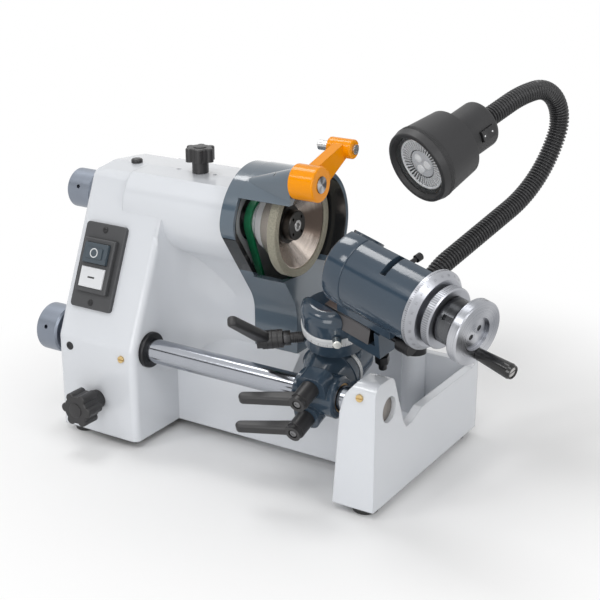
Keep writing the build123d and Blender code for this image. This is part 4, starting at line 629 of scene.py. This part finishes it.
crown, shoulder = NECK_CROWN / NECK_VALLEY, 0.985
RIB_STEPS = (  # rise as a share of the pitch, scale
    (0.22, crown * shoulder), (0.08, 1 / shoulder), (0.22, 1.0),
    (0.08, shoulder), (0.22, 1 / shoulder / crown), (0.18, 1.0),
)
pitch = neck_length / NECK_RIBS
fresh()
bpy.ops.mesh.primitive_circle_add(vertices=28, radius=NECK_VALLEY)
pick(lambda point: True, "VERT")
for rise, scale in RIB_STEPS:
    raised(pitch * rise)
    bpy.ops.transform.resize(value=(scale, scale, 1))
applied(
    "ARRAY", count=NECK_RIBS, relative_offset_displace=(0, 0, 1), use_merge_vertices=True,
    merge_threshold=END_SLACK,
)
for end in (0.0, neck_length):
    pick(lambda point: abs(point.z - end) < END_SLACK, "VERT")
    bpy.ops.mesh.edge_face_add()
bpy.ops.mesh.select_all(action="SELECT")
bpy.ops.mesh.normals_make_consistent(inside=False)
applied("CURVE", object=route_object, deform_axis="POS_Z")
sleeve = bpy.context.active_object
sleeve.name = sleeve.data.name = "ribbed_neck"
bpy.ops.object.shade_smooth_by_angle(angle=radians(60))
sleeve.data.materials.append(finishes["neck_black"])
bpy.data.objects.remove(route_object)

bend_flat, bend_way = knots[UPPER_BEND][:2]
bend_ahead = Vector((cos(bend_way), sin(bend_way)))
neck_space(bend_flat - bend_ahead * 12)
neck_space(bend_flat + bend_ahead * 30)
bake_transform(sleeve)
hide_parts("gooseneck")
print("ribs", NECK_RIBS, "faces", len(sleeve.data.polygons))

# %% [markdown]
# Behind the lamp's clear cover lies a black well with a frosted rim. The well is a round bar whose end is
# inset and raised, then inset again and sunk. Heights are counted along the lamp's axis, which carries on
# from the arm's line. Two helpers add the round bar and a ring of wire, which later pieces use as well.

# %% Well and rim of the light
lamp_flat, lamp_way = knots[-1][:2]
lamp = along(neck_space(lamp_flat), neck_normal, neck_across * cos(lamp_way) + UP * sin(lamp_way))
WELL_TOP = 79


def round_bar(radius, low, high, corners, ends="NGON"):
    """Bar between two heights on the z axis, in millimetres; with few corners it is a nut."""
    fresh()
    bpy.ops.mesh.primitive_cylinder_add(
        vertices=corners, radius=radius * MM, depth=(high - low) * MM,
        location=(0, 0, (low + high) / 2 * MM), end_fill_type=ends,
    )
    bpy.ops.object.transform_apply(location=True, rotation=True, scale=True)


def wire_ring(radius, wire, place, segments, sides):
    """Ring of round wire about a line along z, in millimetres."""
    fresh()
    bpy.ops.mesh.primitive_torus_add(
        major_segments=segments, minor_segments=sides, major_radius=radius * MM, minor_radius=wire * MM,
        location=Vector(place) * MM,
    )
    bpy.ops.object.transform_apply(location=True, rotation=True, scale=True)


round_bar(32.5, 73, WELL_TOP, 72)
pick(lambda middle: middle.z > (WELL_TOP - 0.1) * MM)
bpy.ops.mesh.inset(thickness=3.5 * MM)
raised(1.6 * MM)
bpy.ops.mesh.inset(thickness=2.2 * MM)
raised(-2.4 * MM)
applied("BEVEL", width=0.25 * MM, segments=2, limit_method="ANGLE")
placed("light_well", lamp, "lamp_head", "black_fill_and_hole_shade")
wire_ring(27.4, 1.3, (0, 0, 79.9), 72, 10)
placed("light_rim", lamp, "lamp_head", "frosted_cell", 60)
print("well and rim set in the lamp")

# %% [markdown]
# In the well stand a crown of thin ribs and a disc with three bright cells. One rib is modelled, narrow and
# low at its inner end, and copied about the lamp's axis, and so is one cell.

# %% Ribs and cells of the light
LIGHT_RIBS, LIGHT_CELLS = 42, 3


def small_block(place, size):
    """Block at a place, both in millimetres."""
    fresh()
    bpy.ops.mesh.primitive_cube_add(size=1, location=Vector(place) * MM)
    bpy.context.active_object.scale = Vector(size) * MM
    bpy.ops.object.transform_apply(location=True, rotation=True, scale=True)


def round_copies(count):
    """Copies the active piece evenly about its z axis, into one mesh."""
    step = bpy.data.objects.new("step", None)
    step.rotation_euler = (0, 0, 2 * pi / count)
    bpy.context.scene.collection.objects.link(step)
    bpy.context.view_layer.update()
    applied("ARRAY", count=count, use_relative_offset=False, use_object_offset=True, offset_object=step)
    bpy.data.objects.remove(step)


small_block((21.4, 0, 79.2), (10.4, 1.55, 2.2))
pick(lambda middle: middle.x < 17 * MM)
bpy.ops.transform.resize(value=(1, 0.42, 0.6))
round_copies(LIGHT_RIBS)
placed("light_ribs", lamp, "lamp_head", "frosted_cell")

round_bar(15.0, 77.6, 79.6, 60)
applied("BEVEL", width=0.7 * MM, segments=3, limit_method="ANGLE")
placed("light_disc", lamp, "lamp_head", "cell_bed")

fresh()
bpy.ops.mesh.primitive_uv_sphere_add(
    segments=24, ring_count=12, radius=5.2 * MM, location=(7.4 * MM, 0, 79.6 * MM)
)
bpy.context.active_object.scale = (1, 1, 0.35)
bpy.ops.object.transform_apply(location=True, rotation=True, scale=True)
round_copies(LIGHT_CELLS)
placed("light_cells", lamp, "lamp_head", "bright_cell", 60)
print("ribs and cells set in the lamp")

# %% [markdown]
# Scales are engraved and filled with black paint. A mark is a thin block on the ring's face, copied about
# the ring's axis; every fifth one is longer and wider.

# %% Scales
MARK_DEPTH = 0.16
MARKS, LONG_MARKS = 120, 24
SCALES = (
    # name, axis, body, radius, low and high end, number of marks, their width
    ("index_marks", head, "work_spindle", 36.5, 124.6, 126.2, MARKS, 0.28),
    ("index_tens", head, "work_spindle", 36.5, 123.4, 126.2, LONG_MARKS, 0.34),
    ("tilt_marks", tilt, "elbow", 27.8, -6.0, -3.4, MARKS, 0.24),
    ("tilt_tens", tilt, "elbow", 27.8, -7.0, -3.4, LONG_MARKS, 0.34),
    ("swivel_marks", elbow, "swivel", 32.5, 44.7, 46.6, MARKS, 0.24),
    ("swivel_tens", elbow, "swivel", 32.5, 44.7, 47.8, LONG_MARKS, 0.34),
)
for name, axis, body, radius, low, high, count, width in SCALES:
    small_block((radius, 0, (low + high) / 2), (MARK_DEPTH, width, high - low))
    round_copies(count)
    placed(name, axis, body, "black_fill_and_hole_shade")
print("scales set:", len(SCALES))

# %% [markdown]
# The figures on the index ring are text that is turned to a mesh. Each is set on the ring's sloping face,
# just clear of the metal, and turned about the ring's axis to its long mark. All are joined to one piece.

# %% Figures
FIGURE_SIZE, FIGURE_LIFT = 3.0 * MM, 0.12 * MM
slope = jig((33.9, 0, 129.5), 90 - 42.5, "Y")
upright = Matrix.Translation((0, 0, FIGURE_LIFT)) @ Matrix.Rotation(pi / 2, 4, "Z")
fresh()
for index in range(LONG_MARKS):
    bpy.ops.object.text_add()
    figure = bpy.context.active_object
    figure.data.body = str(index)
    figure.data.size = FIGURE_SIZE
    figure.data.align_x, figure.data.align_y = "CENTER", "CENTER"
    bpy.ops.object.convert(target="MESH")
    figure = bpy.context.active_object
    figure.matrix_world = Matrix.Rotation(2 * pi * index / LONG_MARKS, 4, "Z") @ slope @ upright
    figure.name = "figure"
for piece in bpy.context.scene.objects:
    piece.select_set(piece.name.startswith("figure"))
bpy.ops.object.join()
bpy.ops.object.transform_apply(location=True, rotation=True, scale=True)
placed("index_figures", head, "work_spindle", "knurl_grey")
print("figures set:", LONG_MARKS)

# %% [markdown]
# Cap screws with a six-sided socket close the hubs of the three clamping levers. A Boolean cuts the socket
# into the head. The same helper can cut a slot instead, which other screws need. Two of the levers stand
# across the carriage, and the third one leans out of the swivel's foot.

# %% Screws of the levers
SLOT_WIDTH = 0.7


def screw(name, seat, body, finish, radius, height, key):
    """Screw head on a seat, with a six-sided socket or, without a key, a slot cut into it."""
    if key:
        round_bar(key, height / 2, height * 3 / 2, 6)
    else:
        small_block((0, 0, height), (3 * radius, SLOT_WIDTH, height))
    cutter = bpy.context.active_object
    round_bar(radius, 0, height, 40)
    applied("BEVEL", width=0.3 * MM, segments=2, limit_method="ANGLE", angle_limit=radians(60))
    applied("BOOLEAN", object=cutter, operation="DIFFERENCE", solver="EXACT")
    bpy.data.objects.remove(cutter)
    placed(name, seat, body, finish)


tilt_lever = jig((9, -18, 20), 90, "X", carriage)
bar_lever = jig((2, -24, -12.5), 90, "X", carriage)
lever_turn = radians(31.5)
lever_way = Vector((-cos(lever_turn), -sin(lever_turn), 0))
lever_root = elbow @ ((lever_way * 31 + UP * 34.4) * MM)
swivel_lever = along(lever_root, elbow.to_3x3().col[2], elbow.to_3x3() @ lever_way)
LEVERS = (  # body, axis, height of the hub's end
    ("tilt_lever", tilt_lever, 23.35), ("bar_lever", bar_lever, 23.35), ("swivel_lever", swivel_lever, 43.35),
)
for body, line, height in LEVERS:
    screw(body + "_screw", line @ jig((0, 0, height)), body, "screw_dull", 3.3, 1.5, 1.9)
print("lever screws set:", len(LEVERS))

# %% [markdown]
# The swivel's lever has a long hub: a thread, a six-sided nut and a sleeve with three rings. The rings of
# the thread and of the sleeve are wire rings, repeated along the hub.

# %% Nut and rings of the swivel lever
round_bar(7.4, 12.9, 19.9, 6)
applied("BEVEL", width=0.5 * MM, segments=2, limit_method="ANGLE")
placed("swivel_lever_nut", swivel_lever, "swivel_lever", "screw_dark")
for name, radius, low, count, step in (("thread", 5.0, 1.6, 6, 1.8), ("sleeve", 8.95, 25.4, 3, 5.2)):
    wire_ring(radius, 0.55, (0, 0, low), 36, 8)
    applied(
        "ARRAY", count=count, use_relative_offset=False, use_constant_offset=True,
        constant_offset_displace=(0, 0, step * MM),
    )
    placed("swivel_lever_" + name, swivel_lever, "swivel_lever", "lever_black", 60)
print("nut and rings set on the swivel lever")

# %% [markdown]
# Two slotted screws hold the switch plate, above and below the buttons, and one cap screw sits in the front
# of the casting.

# %% Screws of the casting
PLATE_SCREWS = (("upper", 38), ("lower", -38))
for end, height in PLATE_SCREWS:
    screw(end + "_plate_screw", panel @ jig((0, height, 4.6)), "frame", "screw_dark", 2.7, 0.9, 0)
screw("front_screw", front @ jig((-172, 90.5, -0.2)), "frame", "screw_dark", 4.4, 0.9, 2.4)
print("casting screws set:", len(PLATE_SCREWS) + 1)

# %% [markdown]
# Signs: a round one on the stop button, which has bevelled sides, a straight one on the start button, and
# two dots on the lamp's rocker.

# %% Signs
BUTTON_Y = 12.5
wire_ring(4.4, 0.55, (0, BUTTON_Y, 15.45), 48, 8)
placed("stop_ring", panel, "stop_button", "printed_white", 60)
small_block((0, BUTTON_Y, 13.9), (28.6, 19.6, 0.5))
pick(lambda middle: middle.z > 14.1 * MM)
bpy.ops.mesh.inset(thickness=4.2 * MM)
raised(1.3 * MM)
placed("stop_bevel", panel, "stop_button", "stop_slate", 10)
small_block((0, -BUTTON_Y, 12.02), (8.6, 1.7, 0.2))
placed("start_dash", panel, "start_button", "black_fill_and_hole_shade")

rocker = jig((0, 0, 0), 4, "Z", lamp)
for name, height in (("rocker_dot_low", 3.6), ("rocker_dot_high", 14.4)):
    fresh()
    bpy.ops.mesh.primitive_cylinder_add(
        vertices=20, radius=1.0 * MM, depth=0.5 * MM, rotation=(0, pi / 2, 0),
        location=(27.55 * MM, 0, height * MM),
    )
    placed(name, rocker, "lamp_rocker", "printed_white")
print("signs set")

# %% [markdown]
# Flat caps close the star knobs, dark discs are painted shade where the holes under the plate's screws and
# the spanner holes in the handwheel are, and the ground end of the bar shows in the pillar.

# %% Caps
def cap(name, seat, body, finish, radius, height):
    """Round cap with a soft edge, standing on a seat."""
    round_bar(radius, 0, height, 48)
    edge = min(0.4, height * 0.45) * MM
    applied("BEVEL", width=edge, segments=3, limit_method="ANGLE", angle_limit=radians(60))
    placed(name, seat, body, finish)


cap("quill_knob_cap", machine @ jig((-73, -121, 292.7)), "quill_lock", "lever_black", 6.6, 0.8)
cap("belt_knob_cap", front @ jig((-138, 38.5, 35.2)), "belt_lock", "lever_black", 7.8, 0.8)
# Painted shade: dark discs stand for the shade in the holes under the plate's screws.
for end, height in PLATE_SCREWS:
    cap(end + "_plate_hole_shade", panel @ jig((0, height, 4.4)), "frame", "black_fill_and_hole_shade", 3.6, 0.3)
# Painted shade: dark discs stand for the shade in the handwheel's spanner holes.
spanner_turn = radians(20)
for end, reach in (("left", -5.5), ("right", 5.5)):
    hole = jig((-reach * sin(spanner_turn), reach * cos(spanner_turn), 170.7), carrier=head)
    cap(end + "_spanner_hole_shade", hole, "work_spindle", "black_fill_and_hole_shade", 3.2, 0.3)
cap("bar_end", bar @ jig((0, 0, 183.95)), "guide_bar", "bar_end_steel", 12.2, 0.3)
print("caps set")

# %% [markdown]
# The lock ring has a fine straight knurl and the lamp's bezel a row of ribs, for the grip. Both are one
# block that is copied about an axis.

# %% Knurls
small_block((28.0, 0, 140.1), (0.3, 0.95, 6.4))
round_copies(84)
placed("lock_knurl", head, "work_spindle", "knurl_grey")
small_block((40.5, 0, 77.4), (0.7, 0.8, 4.4))
round_copies(150)
placed("bezel_ribs", lamp, "lamp_head", "lamp_black")
print("knurls set")

# %% [markdown]
# Two bands finish the work head's own castings. Its nose is a little fuller than its barrel, and the white
# scale is drawn up over the foot of the dome that turns on it. Both start as an open tube that is given a
# wall and soft edges. The nose has a flat at the back, so its band is bisected there.

# %% Bands
def band(radius, wall, low, high, edge):
    """Tube between two heights, with its wall set inwards and its edges rounded."""
    round_bar(radius, low, high, 96, "NOTHING")
    applied("SOLIDIFY", thickness=wall * MM, offset=-1)
    applied("BEVEL", width=edge * MM, segments=3, limit_method="ANGLE", angle_limit=radians(60))


band(35.5, 1.8, 26.2, 46.5, 0.8)
flat_turn, flat_depth = radians(47), 27.9 * MM
flat_way = Vector((-cos(flat_turn), sin(flat_turn), 0))
pick(lambda middle: True)
bpy.ops.mesh.bisect(plane_co=flat_way * flat_depth, plane_no=flat_way, use_fill=True, clear_outer=True)
placed("nose_band", head, "work_head", "slate_enamel")
band(32.5, 1.3, 0.05, 4.4, 0.4)
placed("scale_band", swivel, "swivel", "scale_swivel")
print("bands set on nose and dome")

# %% [markdown]
# The camera stands where the photographer stood: a little above the machine, to its right, and far enough
# for a long lens. It looks at a point near the middle of the machine.

# %% Camera
TARGET = Vector((-0.0731, 0.03493, 0.108))
AZIMUTH, ELEVATION, DISTANCE = radians(32.03), radians(19.85), 1.45
back = Vector((sin(AZIMUTH) * cos(ELEVATION), -cos(AZIMUTH) * cos(ELEVATION), sin(ELEVATION)))
camera_data = bpy.data.cameras.new("camera")
camera_data.lens = 78
camera_data.sensor_width = 36
camera = bpy.data.objects.new("camera", camera_data)
camera.location = TARGET + back * DISTANCE
camera.rotation_euler = (-back).to_track_quat("-Z", "Y").to_euler()
bpy.context.scene.collection.objects.link(camera)
bpy.context.scene.camera = camera
bpy.context.scene.view_settings.view_transform = "Standard"
print("camera at", [round(v, 3) for v in camera.location])

# %% [markdown]
# The light is plain: five soft lamps about the machine. A black cloth hangs high at the left, out of the
# picture, so that the polished bar has something dark to mirror.

# %% Lamps and cloth
LIT_POINT = Vector((0, 0, 0.12))
CLOTH_WIDTH, CLOTH_HEIGHT = 2.6, 0.40
LAMPS = (
    # name, place and size in metres, power in watts
    ("key", (-0.9, -1.5, 1.7), 0.5, 6),
    ("fill", (1.7, -0.7, 1.0), 0.8, 9),
    ("low", (0.3, -2.3, 0.5), 1.0, 13),
    ("high", (0.35, -1.1, 2.0), 0.8, 7),
    ("top", (-0.75, 0.2, 1.85), 0.6, 9),
)
for name, place, size, power in LAMPS:
    softbox = bpy.data.lights.new(name, "AREA")
    softbox.size = size
    softbox.energy = power
    stand = bpy.data.objects.new(name, softbox)
    stand.location = place
    stand.rotation_euler = (LIT_POINT - Vector(place)).to_track_quat("-Z", "Y").to_euler()
    bpy.context.scene.collection.objects.link(stand)

fresh()
bpy.ops.mesh.primitive_plane_add(size=1, rotation=(pi / 2, 0, -0.55), location=(-1.15, -1.85, 1.22))
card = bpy.context.active_object
card.scale = (CLOTH_WIDTH, CLOTH_HEIGHT, 1)
bpy.ops.object.transform_apply(location=False, rotation=False, scale=True)
card.name = "dark_card"
card.data.materials.append(finishes["flag_cloth"])
print("lamps set:", len(LAMPS))

# %% [markdown]
# The room is white to the eye and in mirror images, but gives less light than that, so that the lamps model
# the shapes. The floor is pale paint near the machine, where it takes the shadow, and plain white far away.

# %% Room and floor
ROOM_LIGHT = 0.42
SHADOW_REACH, WHITE_REACH = 0.22, 0.50
WHITE = (1.0, 1.0, 1.0, 1)


def seen_directly(tree):
    """One where the eye looks straight at a surface, or at its mirror image."""
    path = Shade(tree).node("ShaderNodeLightPath")
    eye, mirror, glass = (path.out("Is " + ray + " Ray") for ray in ("Camera", "Glossy", "Transmission"))
    return (eye + mirror + glass).math("MINIMUM", 1.0)


world = bpy.data.worlds.new("room")
bpy.context.scene.world = world
world.use_nodes = True
world.node_tree.nodes.clear()
bright = seen_directly(world.node_tree)
strength = ROOM_LIGHT + bright * (1 - ROOM_LIGHT)
sky = bright.node("ShaderNodeBackground", Color=WHITE, Strength=strength)
sky.node("ShaderNodeOutputWorld", Surface=sky)

fresh()
bpy.ops.mesh.primitive_plane_add(size=12, location=(0, 0, -0.0005))
floor = bpy.context.active_object
floor.name = "floor"
material, place = blank("pale_floor")
dust = mixed(grain(place, 3.0, 2.0), (0.90, 0.90, 0.90), (0.92, 0.92, 0.92))
paint = place.node("ShaderNodeBsdfPrincipled", Base_Color=dust, Roughness=0.65)
split = place.node("ShaderNodeSeparateXYZ", Vector=place)
x, y = split.out("X"), split.out("Y")
reach = (x * x + y * y).math("SQRT")
away = reach.node(
    "ShaderNodeMapRange", {"interpolation_type": "SMOOTHSTEP"},
    Value=reach, From_Min=SHADOW_REACH, From_Max=WHITE_REACH,
)
glow = place.node("ShaderNodeEmission", Color=WHITE, Strength=1.0)
shader = place.node("ShaderNodeMixShader", i0=away * seen_directly(place.tree), i1=paint, i2=glow)
place.node("ShaderNodeOutputMaterial", Surface=shader)
floor.data.materials.append(material)
print("room and floor ready")
